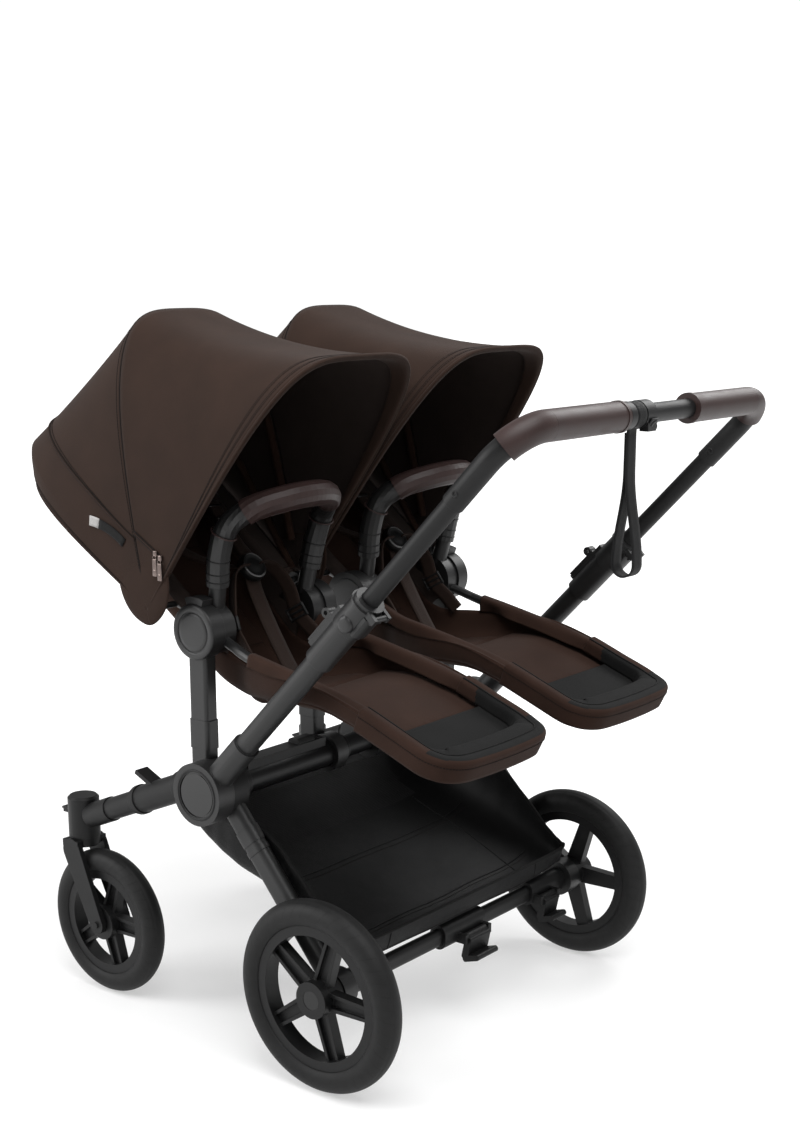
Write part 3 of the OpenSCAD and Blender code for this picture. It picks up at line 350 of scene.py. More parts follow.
@dataclass(frozen=True)
class Cloth(Finish):
    """A woven cloth, drawn on a piece's own lengths.

    Attributes:
        weave: How it is woven.
        pitch_mm: Distance between threads.
        relief_mm: Depth of the threads.
        sheen: Weight of the soft glow at grazing angles.
        rough: Roughness.
        creases_mm: Depth of the soft creases.
        mapped: Whether the threads follow the piece's own map, or else a seat's slope.
    """

    weave: Weave = Weave.CANVAS
    pitch_mm: float = 0.9
    relief_mm: float = 0.12
    sheen: float = 0.25
    rough: float = 0.85
    creases_mm: float = 0.8
    mapped: bool = True

    def woven(self, sheet: NodeSheet, uv: Socket) -> Socket:
        """The threads' height.

        Args:
            sheet: The sheet to write on.
            uv: Lengths along and across the cloth.

        Returns:
            Values from 0 to 1.
        """
        warp, weft = (sheet.threads(uv, axis, self.pitch_mm) for axis in "XY")
        if self.weave is Weave.TWILL:
            ribs = sheet.threads(uv, "DIAGONAL", self.pitch_mm * 1.4)
            return sheet.math("MAXIMUM", ribs, sheet.math("MULTIPLY", weft, 0.7))
        if self.weave is Weave.NET:
            return sheet.math("MULTIPLY", warp, weft)
        share = 0.75 if self.weave is Weave.WEBBING else 0.5
        return sheet.total((weft, share), (warp, 1 - share))

    def paint(self, sheet: NodeSheet) -> bpy.types.Material:
        """Draws the weave, its tones and its soft creases.

        Args:
            sheet: The sheet to write on.

        Returns:
            The material.
        """
        place = sheet.coords("Object")
        uv, slope = sheet.coords("UV"), (math.radians(SEAT_SLOPE), 0.0, 0.0)
        if not self.mapped:
            uv = sheet.add("ShaderNodeMapping", Vector=place, Rotation=slope).outputs[0]
        height, flecks = self.woven(sheet, uv), sheet.noise(place, 1.6)
        tone = sheet.total((sheet.noise(place, 55.0, 4.0), 0.5), (flecks, 0.3), (height, 0.25))
        creased = sheet.bump(sheet.noise(place, 38.0, 3.0), self.creases_mm)
        return sheet.surface(
            Base_Color=sheet.ramp(tone, self.tones((0.25, 0.72), (0.55, 1.0), (0.85, 1.32))),
            Normal=sheet.bump(height, self.relief_mm, Normal=creased),
            Roughness=sheet.vary(flecks, self.rough, 0.12),
            Sheen_Weight=self.sheen, Sheen_Roughness=0.45, Specular_IOR_Level=0.14,
        )


@dataclass(frozen=True)
class Moulded(Finish):
    """Moulded plastic, powder coat or metal, with a fine surface grain and a painted highlight along its
    edges.

    Attributes:
        rough: Roughness.
        grain_mm: Width of the surface grain.
        relief_mm: Depth of the surface grain.
        edge_mm: Radius that softens the edges.
        coat: Weight of a clear coat.
        metal: Share of bare metal.
        gleam: Strength of the mirror light.
    """

    rough: float = 0.5
    grain_mm: float = 0.9
    relief_mm: float = 0.03
    edge_mm: float = 1.0
    coat: float = 0.0
    metal: float = 0.0
    gleam: float = 0.5

    def paint(self, sheet: NodeSheet) -> bpy.types.Material:
        """Draws the grain, with edges painted lighter as a highlight.

        Args:
            sheet: The sheet to write on.

        Returns:
            The material.
        """
        place = sheet.coords("Object")
        grain, clouds = sheet.noise(place, self.grain_mm, 3.0), sheet.noise(place, 42.0, 4.0)
        normal = sheet.add("ShaderNodeBevel", samples=4, Radius=self.edge_mm * MM).outputs["Normal"]
        apart = sheet.add("ShaderNodeVectorMath", operation="DOT_PRODUCT")
        sheet.feed(apart.inputs[0], sheet.add("ShaderNodeNewGeometry").outputs["Normal"])
        sheet.feed(apart.inputs[1], normal)
        # Painted highlight: where the bevelled normal turns away from the face, the colour is painted
        # lighter, as if the rounded edges caught the light.
        edge_highlight_mask = sheet.math("SUBTRACT", 1.0, apart.outputs["Value"])
        edge = sheet.ramp(edge_highlight_mask, [(0.01, (0.0, 0.0, 0.0)), (0.12, (0.35, 0.35, 0.35))])
        mix = sheet.add("ShaderNodeMix", data_type="RGBA", Factor=edge)
        tone = sheet.total((clouds, 0.6), (grain, 0.4))
        sheet.feed(mix.inputs[6], sheet.ramp(tone, self.tones((0.3, 0.82), (0.7, 1.18))))
        sheet.feed(mix.inputs[7], (*self.tones((0.0, 2.2))[0][1], 1.0))
        return sheet.surface(
            Base_Color=mix.outputs[2], Normal=sheet.bump(grain, self.relief_mm, Normal=normal),
            Roughness=sheet.vary(clouds, self.rough, 0.16), Metallic=self.metal,
            Specular_IOR_Level=self.gleam, Coat_Weight=self.coat, Coat_Roughness=0.15,
        )


@dataclass(frozen=True)
class Hide(Finish):
    """Leatherette with a pebbled grain.

    Attributes:
        grain_mm: Width of a pebble.
        relief_mm: Depth of the creases between pebbles.
        rough: Roughness.
    """

    grain_mm: float = 1.5
    relief_mm: float = 0.12
    rough: float = 0.5

    def paint(self, sheet: NodeSheet) -> bpy.types.Material:
        """Draws the pebbles and their tones.

        Args:
            sheet: The sheet to write on.

        Returns:
            The material.
        """
        place = sheet.coords("Object")
        scale = 1 / (self.grain_mm * MM)
        cells = sheet.add("ShaderNodeTexVoronoi", feature="SMOOTH_F1", Vector=place, Scale=scale)
        pebble, clouds = cells.outputs["Distance"], sheet.noise(place, 26.0, 4.0)
        tone = sheet.total((clouds, 0.7), (pebble, 0.3))
        return sheet.surface(
            Base_Color=sheet.ramp(tone, self.tones((0.25, 0.7), (0.6, 1.0), (0.85, 1.3))),
            Normal=sheet.bump(sheet.math("SUBTRACT", 1.0, pebble), self.relief_mm),
            Roughness=sheet.vary(clouds, self.rough, 0.2), Specular_IOR_Level=0.3,
        )


@dataclass(frozen=True)
class Tread(Finish):
    """Tyre rubber with curved tread lines cut into the shoulders.

    Attributes:
        blocks: Tread lines round one tyre.
    """

    blocks: int = 46

    def paint(self, sheet: NodeSheet) -> bpy.types.Material:
        """Draws the tread lines and the dust.

        Args:
            sheet: The sheet to write on.

        Returns:
            The material.
        """
        place = sheet.coords("Object")
        along, width, _ = sheet.add("ShaderNodeSeparateXYZ", Vector=sheet.coords("UV")).outputs
        across = sheet.math("ABSOLUTE", sheet.math("SUBTRACT", width, 0.5))
        curve = sheet.math("MULTIPLY", across, across)
        phase = sheet.total((along, float(self.blocks)), (curve, 9.6))
        line = sheet.math("ABSOLUTE", sheet.math("SUBTRACT", sheet.math("FRACT", phase), 0.5))
        inner, outer = sheet.math("GREATER_THAN", across, 0.07), sheet.math("LESS_THAN", across, 0.27)
        shoulder = sheet.math("MULTIPLY", inner, outer)
        groove = sheet.math("MULTIPLY", sheet.math("LESS_THAN", line, 0.07), shoulder)
        shadow = sheet.math("SUBTRACT", 1.0, sheet.math("MULTIPLY", groove, 0.8))
        tone = sheet.math("MULTIPLY", sheet.noise(place, 14.0, 4.0), shadow)
        fine = sheet.bump(sheet.noise(place, 0.8), 0.05)
        return sheet.surface(
            Base_Color=sheet.ramp(tone, self.tones((0.2, 0.6), (0.55, 1.0), (0.9, 1.6))),
            Normal=sheet.bump(sheet.math("SUBTRACT", 1.0, groove), 1.6, Normal=fine),
            Roughness=0.6, Specular_IOR_Level=0.3,
        )


CANOPY_CLOTH = Cloth("canopy cloth", (0.0250, 0.0135, 0.0094), Weave.TWILL, 0.8, 0.08, 0.03, 0.82, 0.35)
LINING_CLOTH = Cloth("dark lining", (0.0330, 0.0240, 0.0210), Weave.CANVAS, 0.8, 0.08, 0.02, 0.9, 0.5)
SEAT_CLOTH = Cloth("seat cloth", (0.0275, 0.0134, 0.0090), Weave.CANVAS, 1.0, 0.1, 0.03, 0.85, 0.6)
SEAT_PAD_CLOTH = Cloth("padded seat cloth", SEAT_CLOTH.colour, Weave.CANVAS, 1.0, 0.1, 0.03, 0.85, 0.6, False)
FOOT_CLOTH = Cloth("foot panel cloth", (0.0072, 0.0072, 0.0072), Weave.CANVAS, 1.2, 0.14, 0.02, 0.8, 0.3)
PIPING = Cloth("piping", (0.0042, 0.0040, 0.0040), Weave.WEBBING, 1.2, 0.1, 0.02, 0.7, 0.1)
# Dark brown cloth: painted shadow in the canopy's seam grooves, and also the real colour of the zip tapes.
SEAM_SHADOW_AND_TAPE = Cloth("dark seam", (0.0058, 0.0036, 0.0029), Weave.WEBBING, 1.2, 0.1, 0.02, 0.8, 0.0)
WEB_BROWN = Cloth("brown webbing", (0.0200, 0.0112, 0.0082), Weave.WEBBING, 1.6, 0.25, 0.04, 0.7, 0.1)
WEB_BLACK = Cloth("black webbing", (0.0078, 0.0078, 0.0082), Weave.WEBBING, 1.6, 0.25, 0.03, 0.6, 0.1)
NYLON = Cloth("basket nylon", (0.0026, 0.0026, 0.0028), Weave.CANVAS, 0.9, 0.1, 0.01, 0.5, 1.4)
NET = Cloth("basket net", (0.0075, 0.0075, 0.0078), Weave.NET, 3.2, 0.9, 0.01, 0.6, 0.5)
THREAD = Cloth("sewing thread", (0.0072, 0.0044, 0.0036), Weave.WEBBING, 0.5, 0.1, 0.02, 0.8, 0.0)
LABEL_PALE = Cloth("pale label", (0.42, 0.41, 0.40), Weave.CANVAS, 0.6, 0.05, 0.0, 0.8, 0.05)
SATIN_BLACK = Moulded("satin black moulding", (0.0056, 0.0056, 0.0058), 0.5, 0.7, 0.03, 1.2, gleam=0.26)
FRAME_GREY = Moulded("charcoal coat", (0.0090, 0.0090, 0.0092), 0.44, 0.6, 0.02, 1.0, gleam=0.42)
DARK_TUBE = Moulded("black coat", (0.0045, 0.0045, 0.0048), 0.4, 0.6, 0.02, 0.8, gleam=0.25)
GLOSS_BLACK = Moulded("gloss black", (0.0025, 0.0025, 0.0026), 0.14, 6.0, 0.004, 0.6, 0.25, gleam=0.3)
RIM_BLACK = Moulded("rim moulding", (0.0062, 0.0062, 0.0064), 0.46, 0.8, 0.03, 1.2, gleam=0.26)
DULL_STEEL = Moulded("dull steel", (0.11, 0.11, 0.11), 0.3, 3.0, 0.01, 0.3, 0.0, 1.0)
BRONZE = Moulded("rose bronze", (0.15, 0.118, 0.108), 0.3, 2.0, 0.01, 0.3, 0.0, 1.0)
WHITE_PIN = Moulded("pale pin", (0.5, 0.5, 0.5), 0.5, 2.0, 0.01, 0.2)
LEATHER = Hide("brown leatherette", (0.0345, 0.0192, 0.0176), 1.3, 0.1, 0.46)
BLACK_HIDE = Hide("black leatherette", (0.0052, 0.0052, 0.0056), 1.2, 0.08, 0.45)
TYRE = Tread("tyre rubber", (0.0052, 0.0052, 0.0053))


def placed(name: str, data: bpy.types.ID) -> Object:
    """A new object in the scene.

    Args:
        name: Its name.
        data: What it shows.

    Returns:
        The object.
    """
    obj = bpy.data.objects.new(name, data)
    bpy.context.scene.collection.objects.link(obj)
    return obj


def piece_from(bm: bmesh.types.BMesh) -> Object:
    """A new piece from a finished bmesh.

    Args:
        bm: The bmesh, which is freed.

    Returns:
        The piece.
    """
    mesh = bpy.data.meshes.new("piece")
    bm.to_mesh(mesh)
    bm.free()
    return placed("piece", mesh)


def finish_mesh(obj: Object, finishes: Sequence[Finish], smooth: bool = True) -> Object:
    """Gives a piece its finishes and its shading.

    Args:
        obj: The piece.
        finishes: Its finishes, by material index.
        smooth: Whether faces shade smoothly.

    Returns:
        The piece.
    """
    slots = obj.data.materials
    for k, finish in enumerate(finishes):
        if k < len(slots):
            slots[k] = finish.material()
        else:
            slots.append(finish.material())
    obj.data.polygons.foreach_set("use_smooth", [smooth] * len(obj.data.polygons))
    return obj


def settle(obj: Object) -> Object:
    """Turns a piece with modifiers, or a curve, into a plain mesh at the origin.

    Args:
        obj: The piece.

    Returns:
        The mesh piece.
    """
    bpy.context.view_layer.update()
    mesh = bpy.data.meshes.new_from_object(obj.evaluated_get(bpy.context.evaluated_depsgraph_get()))
    mesh.transform(obj.matrix_world)
    bpy.data.objects.remove(obj)
    return placed("piece", mesh)


def cloth_sheet(
    rows: int, cols: int, surface: Surface, thick_mm: float, offset: float = -1.0, lined: bool = False
) -> Object:
    """A sheet of cloth laid on a surface, with its lengths as its map.

    Args:
        rows: Steps along the first direction.
        cols: Steps along the second direction.
        surface: Place for two shares from 0 to 1.
        thick_mm: Thickness of the cloth.
        offset: Side of the surface that the thickness goes to.
        lined: Whether the inner side takes the second finish.

    Returns:
        The piece.
    """
    bm = bmesh.new()
    bmesh.ops.create_grid(bm, x_segments=rows, y_segments=cols, size=0.5)
    uv = bm.loops.layers.uv.new("UVMap")
    shares = {v: (v.co.x + 0.5, v.co.y + 0.5) for v in bm.verts}
    long = runs([surface(i / rows, 0.5) for i in range(rows + 1)])
    wide = runs([surface(0.5, j / cols) for j in range(cols + 1)])
    for face in bm.faces:
        for loop in face.loops:
            u, v = shares[loop.vert]
            loop[uv].uv = (long[round(u * rows)], wide[round(v * cols)])
    for vert, share in shares.items():
        vert.co = surface(*share)
    obj = piece_from(bm)
    skin = obj.modifiers.new("thickness", "SOLIDIFY")
    skin.thickness = thick_mm * MM
    skin.offset = offset
    skin.use_even_offset = True
    if lined:
        skin.material_offset = 1
        obj.data.materials.append(None)
        obj.data.materials.append(None)
    return settle(obj)


def cord(points: Iterable[Vector], radius_mm: float, sides: int = 3, closed: bool = False) -> Object:
    """A round cord, wire or piping along points.

    Args:
        points: Places along it.
        radius_mm: Its radius.
        sides: Bevel resolution.
        closed: Whether its ends meet.

    Returns:
        The piece as a mesh.
    """
    places = list(points)
    curve = bpy.data.curves.new("cord", "CURVE")
    curve.dimensions = "3D"
    curve.bevel_depth = radius_mm * MM
    curve.bevel_resolution = sides
    curve.use_fill_caps = True
    curve.twist_mode = "MINIMUM"
    line = curve.splines.new("POLY")
    line.points.add(len(places) - 1)
    line.use_cyclic_u = closed
    for point, place in zip(line.points, places):
        point.co = (*place, 1.0)
    return settle(placed("cord", curve))


def ribbon(points: Sequence[Vector], sides: Sequence[Vector], width_mm: float, thick_mm: float) -> Object:
    """A flat strap along points.

    Args:
        points: Places along its middle.
        sides: Direction across it at each place, or one for all.
        width_mm: Its width.
        thick_mm: Its thickness.

    Returns:
        The piece.
    """
    last = len(points) - 1

    def lay(u: float, v: float) -> Vector:
        """A place on the strap.

        Args:
            u: Share of its length.
            v: Share of its width.

        Returns:
            The place.
        """
        i = min(int(u * last + 1e-6), last)
        ahead = (points[min(i + 1, last)] - points[max(i - 1, 0)]).normalized()
        here = sides[min(i, len(sides) - 1)]
        across = (here - ahead * here.dot(ahead)).normalized()
        return points[i] + across * (v - 0.5) * width_mm * MM

    return cloth_sheet(last, 4, lay, thick_mm, 0.0)


def lathe(profile: Sequence[tuple[float, float]], centre: Vector, axis: Vector, steps: int) -> Object:
    """A turned piece.

    Args:
        profile: Pairs of distance along the axis and radius, in millimetres.
        centre: Where the axis starts.
        axis: Direction of the axis.
        steps: Steps round the turn.

    Returns:
        The piece.
    """
    bm = bmesh.new()
    line = [bm.verts.new((r * MM, 0.0, h * MM)) for h, r in profile]
    whole = line + [bm.edges.new(pair) for pair in zip(line, line[1:])]
    bmesh.ops.spin(bm, geom=whole, cent=(0, 0, 0), axis=UP, angle=FULL_TURN, steps=steps, use_merge=True)
    bmesh.ops.remove_doubles(bm, verts=bm.verts, dist=WELD)
    bmesh.ops.recalc_face_normals(bm, faces=bm.faces)
    turn = UP.rotation_difference(axis.normalized()).to_matrix().to_4x4()
    bmesh.ops.transform(bm, matrix=Matrix.Translation(centre) @ turn, verts=bm.verts)
    return piece_from(bm)


def block(size_mm: Point, place: Matrix, round_mm: float) -> Object:
    """A moulded block with rounded edges.

    Args:
        size_mm: Its three sizes.
        place: Where it sits and how it is turned.
        round_mm: Radius of its edges.

    Returns:
        The piece.
    """
    bm = bmesh.new()
    bmesh.ops.create_cube(bm, size=1.0)
    bmesh.ops.scale(bm, vec=[s * MM for s in size_mm], verts=bm.verts)
    bmesh.ops.bevel(
        bm, geom=bm.edges[:], offset=round_mm * MM, offset_type="OFFSET", affect="EDGES", segments=3,
        profile=0.5, material=-1,
    )
    bmesh.ops.transform(bm, matrix=place, verts=bm.verts)
    return piece_from(bm)


def hoop(centre: Vector, axis: Vector, radius_mm: float, wire_mm: float) -> Object:
    """A closed ring of round wire.

    Args:
        centre: Its middle.
        axis: Direction that it goes round.
        radius_mm: Its radius.
        wire_mm: Radius of the wire.

    Returns:
        The piece.
    """
    turn = UP.rotation_difference(axis.normalized()).to_matrix()
    angles = [FULL_TURN * k / 48 for k in range(48)]
    spots = [centre + turn @ Vector((math.cos(a), math.sin(a), 0.0)) * (radius_mm * MM) for a in angles]
    return cord(spots, wire_mm, 2, True)


def stitches(points: Sequence[Vector], normals: Sequence[Vector], pitch_mm: float = SEWN_MM) -> Object:
    """A row of sewn stitches along points.

    Args:
        points: Places along the row, close together.
        normals: Outward directions at those places.
        pitch_mm: Distance from stitch to stitch.

    Returns:
        The piece.
    """
    spans = runs(points)
    count = max(int(spans[-1] / (pitch_mm * MM)), 1)
    size = Matrix.Diagonal((pitch_mm * 0.7 * MM, 1.0 * MM, 0.8 * MM, 1.0))
    bm = bmesh.new()
    for k in range(count):
        want = (k + 0.5) * spans[-1] / count
        i = max(min(int(np.searchsorted(spans, want)) - 1, len(points) - 2), 0)
        share = (want - spans[i]) / max(spans[i + 1] - spans[i], 1e-9)
        ahead = (points[i + 1] - points[i]).normalized()
        up = normals[i].lerp(normals[i + 1], share).normalized()
        across = up.cross(ahead).normalized()
        turn = Matrix((ahead, across, ahead.cross(across))).transposed().to_4x4()
        place = Matrix.Translation(points[i].lerp(points[i + 1], share) + up * 0.1 * MM)
        bmesh.ops.create_cube(bm, size=1.0, matrix=place @ turn @ size)
    return finish_mesh(piece_from(bm), [THREAD], False)


def copied(parts: Sequence[Object], flip: bool = False) -> Object:
    """A new piece from one or more pieces of the same finishes.

    Args:
        parts: The pieces.
        flip: Whether it is made for the other side of the stroller.

    Returns:
        The new piece.
    """
    bm = bmesh.new()
    for part in parts:
        bm.from_mesh(part.data)
    if flip:
        bmesh.ops.scale(bm, vec=(-1.0, 1.0, 1.0), verts=bm.verts)
        bmesh.ops.reverse_faces(bm, faces=bm.faces)
    obj = piece_from(bm)
    for material in parts[0].data.materials:
        obj.data.materials.append(material)
    return obj


def joined(parts: Sequence[Object], finish: Finish) -> Object:
    """Several pieces of one finish made into one.

    Args:
        parts: The pieces.
        finish: Their finish.

    Returns:
        The joined piece.
    """
    whole = copied(parts)
    for part in parts:
        bpy.data.objects.remove(part)
    return finish_mesh(whole, [finish])


def cushion(surface: Surface, thick: Callable[[float, float], float], cuts: tuple[int, int, int]) -> Object:
    """A closed pad on a surface.

    Args:
        surface: Place on the pad's underside for two shares from 0 to 1.
        thick: Thickness in millimetres for the same two shares.
        cuts: Steps along, across and through the pad.

    Returns:
        The piece.
    """
    bm = bmesh.new()
    bmesh.ops.create_cube(bm, size=1.0)
    for axis, count in enumerate(cuts):
        along = [e for e in bm.edges if abs((e.verts[0].co - e.verts[1].co)[axis]) > 1e-5]
        bmesh.ops.subdivide_edges(bm, edges=along, cuts=count - 1, use_grid_fill=True)
    step = 0.004
    for vert in bm.verts:
        u, v, w = (vert.co[k] + 0.5 for k in range(3))
        du = surface(min(u + step, 1.0), v) - surface(max(u - step, 0.0), v)
        dv = surface(u, min(v + step, 1.0)) - surface(u, max(v - step, 0.0))
        vert.co = surface(u, v) + dv.cross(du).normalized() * (w * thick(u, v) * MM)
    bmesh.ops.recalc_face_normals(bm, faces=bm.faces)
    return piece_from(bm)


def plump(obj: Object, cap_mm: float, pressure: float, frames: int = 20) -> Object:
    """Fills a pad with a short cloth simulation.

    Args:
        obj: The pad, slightly smaller than it will be.
        cap_mm: The furthest that the skin may move.
        pressure: Pressure of the filling.
        frames: Length of the simulation.

    Returns:
        The filled pad.
    """
    grain = obj.modifiers.new("skin", "REMESH")
    grain.mode = "VOXEL"
    grain.voxel_size = 5.0 * MM
    obj = settle(obj)
    before, after = np.empty((2, len(obj.data.vertices) * 3))
    obj.data.vertices.foreach_get("co", before)
    fill = obj.modifiers.new("fill", "CLOTH")
    fill.settings.quality = 4
    fill.settings.use_pressure = True
    fill.settings.uniform_pressure_force = pressure
    fill.settings.effector_weights.gravity = 0.0
    fill.settings.tension_stiffness = fill.settings.compression_stiffness = 12.0
    fill.point_cache.frame_start, fill.point_cache.frame_end = 1, frames
    scene = bpy.context.scene
    for frame in range(1, frames + 1):
        scene.frame_set(frame)
    obj.evaluated_get(bpy.context.evaluated_depsgraph_get()).to_mesh().vertices.foreach_get("co", after)
    move = (after - before).reshape(-1, 3)
    move *= np.minimum(1.0, cap_mm * MM / np.maximum(np.linalg.norm(move, axis=1, keepdims=True), 1e-9))
    obj.modifiers.remove(fill)
    scene.frame_set(1)
    obj.data.vertices.foreach_set("co", before + move.ravel())
    obj.data.update()
    round_off = obj.modifiers.new("round", "SUBSURF")
    round_off.levels = round_off.render_levels = 1
    return settle(obj)


@dataclass
class Side:
    """One side of the stroller.

    Attributes:
        name: left or right.
        hand: 1 for the left, -1 for the right.
    """

    name: str
    hand: float

    def node(self, part: str) -> str:
        """The name of a node or body on this side."""
        return f"{self.name}_{part}"


LEFT, RIGHT = Side("left", 1.0), Side("right", -1.0)


def fixed(body: str, slot: str, *more: Carry) -> Carry:
    """A way to fix a piece on a body.

    Args:
        body: The body's name, in which SIDE stands for left or right.
        slot: Not used.
        more: Further calls for the piece.

    Returns:
        The call that fixes a piece on its side.
    """

    def carry(piece: Object, side: Side) -> None:
        """Fixes a piece on its side.

        Args:
            piece: The piece.
            side: Its side.
        """
        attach(piece, body.replace("SIDE", side.name))
        for call in more:
            call(piece, side)

    return carry


BROWN_ON_SEAT = fixed("SIDE_seat", "brown_fabric")
DARK_ON_SEAT = fixed("SIDE_seat", "dark_fabric")


def single(piece: Object, name: str, carry: Carry, *finishes: Finish) -> Object:
    """Finishes, names and fixes a piece.

    Args:
        piece: The piece.
        name: Its name.
        carry: Fixes it.
        finishes: Its finishes, where it has none yet.

    Returns:
        The piece.
    """
    if finishes:
        finish_mesh(piece, finishes)
    piece.name = name
    carry(piece, LEFT)
    LOG.info("%s", name)
    return piece


def both_sides(left: Object, part: str, carry: Carry, *finishes: Finish) -> None:
    """Finishes, names and fixes a left-hand piece and its copy on the right.

    Args:
        left: The left-hand piece.
        part: The piece's plain name.
        carry: Fixes a piece on its side.
        finishes: Its finishes, where it has none yet.
    """
    single(left, LEFT.node(part), carry, *finishes)
    twin = copied([left], True)
    twin.data.polygons.foreach_set("use_smooth", [p.use_smooth for p in left.data.polygons])
    twin.name = RIGHT.node(part)
    carry(twin, RIGHT)


@dataclass
class Studio:
    """Camera, floor and light.

    Attributes:
        eye: The camera's place in metres.
        heading: Direction of view, degrees from +X.
        drop: Degrees that the view points down.
        focal_px: Focal length in pixels of the photograph.
        frame_h_px: Height of the photograph.
        centre_px: Height of the optical axis in the photograph.
        sensor_mm: Height of the sensor.
        surround: Strength of the light from all round.
        white: Brightness of the white background.
        lift: Glow of the floor under the stroller, which keeps it near white.
        lamps: Name, place, size and power of each lamp.
    """

    eye: tuple[float, float, float] = (2.0861, 1.5391 + AXLE_Y * MM, 1.2075)
    heading: float = 218.56
    drop: float = 13.894
    focal_px: float = 1663.84
    frame_h_px: int = 1134
    centre_px: float = 685.3
    sensor_mm: float = 36.0
    surround: float = 0.45
    white: float = 1.05
    lift: float = 0.45
    lamps: tuple[tuple[str, tuple[float, float, float], float, float], ...] = (
        ("key", (0.7, 1.2, 3.4), 2.6, 110.0),
        ("side", (2.6, -2.4, 2.0), 1.8, 84.0),
        ("rim", (-2.4, 0.4, 2.6), 1.6, 42.0),
    )

    def camera(self) -> None:
        """Sets the camera to the photograph's view."""
        lens = bpy.data.cameras.new("camera")
        lens.sensor_fit = "VERTICAL"
        lens.sensor_height = self.sensor_mm
        lens.lens = self.focal_px / self.frame_h_px * self.sensor_mm
        lens.shift_y = (self.centre_px - self.frame_h_px / 2) / self.frame_h_px
        lens.clip_end = 60.0
        eye = placed("camera", lens)
        eye.location = self.eye
        eye.rotation_euler = (math.radians(90 - self.drop), 0.0, math.radians(self.heading - 90))
        bpy.context.scene.camera = eye

    def floor(self) -> None:
        """A plain pale floor that runs into the white surround."""
        bm = bmesh.new()
        bmesh.ops.create_circle(bm, cap_ends=True, segments=96, radius=30.0)
        bmesh.ops.translate(bm, vec=(0.0, 0.0, -0.0008), verts=bm.verts)
        ground = piece_from(bm)
        ground.name = "floor"
        sheet = NodeSheet("pale floor")
        away = sheet.add("ShaderNodeVectorMath", operation="LENGTH", Vector=sheet.coords("Object"))
        fade = sheet.add(
            "ShaderNodeMapRange", interpolation_type="SMOOTHSTEP", Value=away.outputs["Value"],
            From_Min=0.6, From_Max=2.4, To_Min=self.lift, To_Max=self.white,
        )
        rays = sheet.add("ShaderNodeLightPath").outputs
        seen = sheet.math("MAXIMUM", rays["Is Camera Ray"], rays["Is Glossy Ray"])
        sheet.surface(
            Base_Color=(0.55, 0.55, 0.55, 1.0), Roughness=0.8, Specular_IOR_Level=0.05,
            Emission_Color=(1.0, 1.0, 1.0, 1.0),
            Emission_Strength=sheet.math("MULTIPLY", fade.outputs["Result"], seen),
        )
        ground.data.materials.append(sheet.mat)

    def light(self) -> None:
        """A white surround and soft lamps above, to the left and behind."""
        world = bpy.data.worlds.new("studio")
        bpy.context.scene.world = world
        world.use_nodes = True
        nodes, link = world.node_tree.nodes, world.node_tree.links.new
        soft, white = nodes["Background"], nodes.new("ShaderNodeBackground")
        pick = nodes.new("ShaderNodeMixShader")
        link(nodes.new("ShaderNodeLightPath").outputs["Is Camera Ray"], pick.inputs["Fac"])
        for k, (glow, strength) in enumerate(((soft, self.surround), (white, self.white)), 1):
            glow.inputs["Color"].default_value = (1.0, 1.0, 1.0, 1.0)
            glow.inputs["Strength"].default_value = strength
            link(glow.outputs["Background"], pick.inputs[k])
        link(pick.outputs["Shader"], nodes["World Output"].inputs["Surface"])
        for name, place, size, power in self.lamps:
            lamp = bpy.data.lights.new(name, "AREA")
            lamp.size = size
            lamp.energy = power
            obj = placed(name, lamp)
            obj.location = place
            obj.rotation_euler = (Vector((0.0, 0.0, 0.6)) - obj.location).to_track_quat("-Z", "Y").to_euler()
        bpy.context.scene.view_settings.view_transform = "Standard"

    def build(self) -> None:
        """Sets up the whole studio."""
        self.camera()
        self.floor()
        self.light()


@dataclass
class Chassis:
    """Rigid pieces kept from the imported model, with their finishes.

    Attributes:
        nodes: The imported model's nodes by name.
        looks: Nodes of each finish, with SIDE for left and right.
    """

    nodes: dict[str, Object]
    looks: tuple[tuple[Finish, str], ...] = (
        (SATIN_BLACK, "hub_housings front_arms axle_housings rear_axle_tube cross_rail handlebar_tube"
                      " brake_pedal width_lock_lever SIDE_caster_fork SIDE_swivel_lock SIDE_canopy_bow"),
        (FRAME_GREY, "rear_legs outer_seat_posts inner_seat_posts handle_collars SIDE_handle_tube"
                     " SIDE_clamp_lever SIDE_fold_trigger SIDE_recline_lever SIDE_seat_frame"
                     " SIDE_bumper_bar"),
        (DARK_TUBE, "cross_tube_sleeve cross_tube_slider"),
        (GLOSS_BLACK, "hub_caps SIDE_release_button"),
        (RIM_BLACK, "SIDE_front_rim SIDE_rear_rim"),
        (LEATHER, "SIDE_grip SIDE_bumper_grip"),
        (BLACK_HIDE, "strap_holder"),
    )

    def build(self) -> None:
        """Gives every rigid node its finish."""
        for finish, names in self.looks:
            for name in {word.replace("SIDE", s.name) for word in names.split() for s in (LEFT, RIGHT)}:
                self.nodes[name].data.materials.clear()
                self.nodes[name].data.materials.append(finish.material())


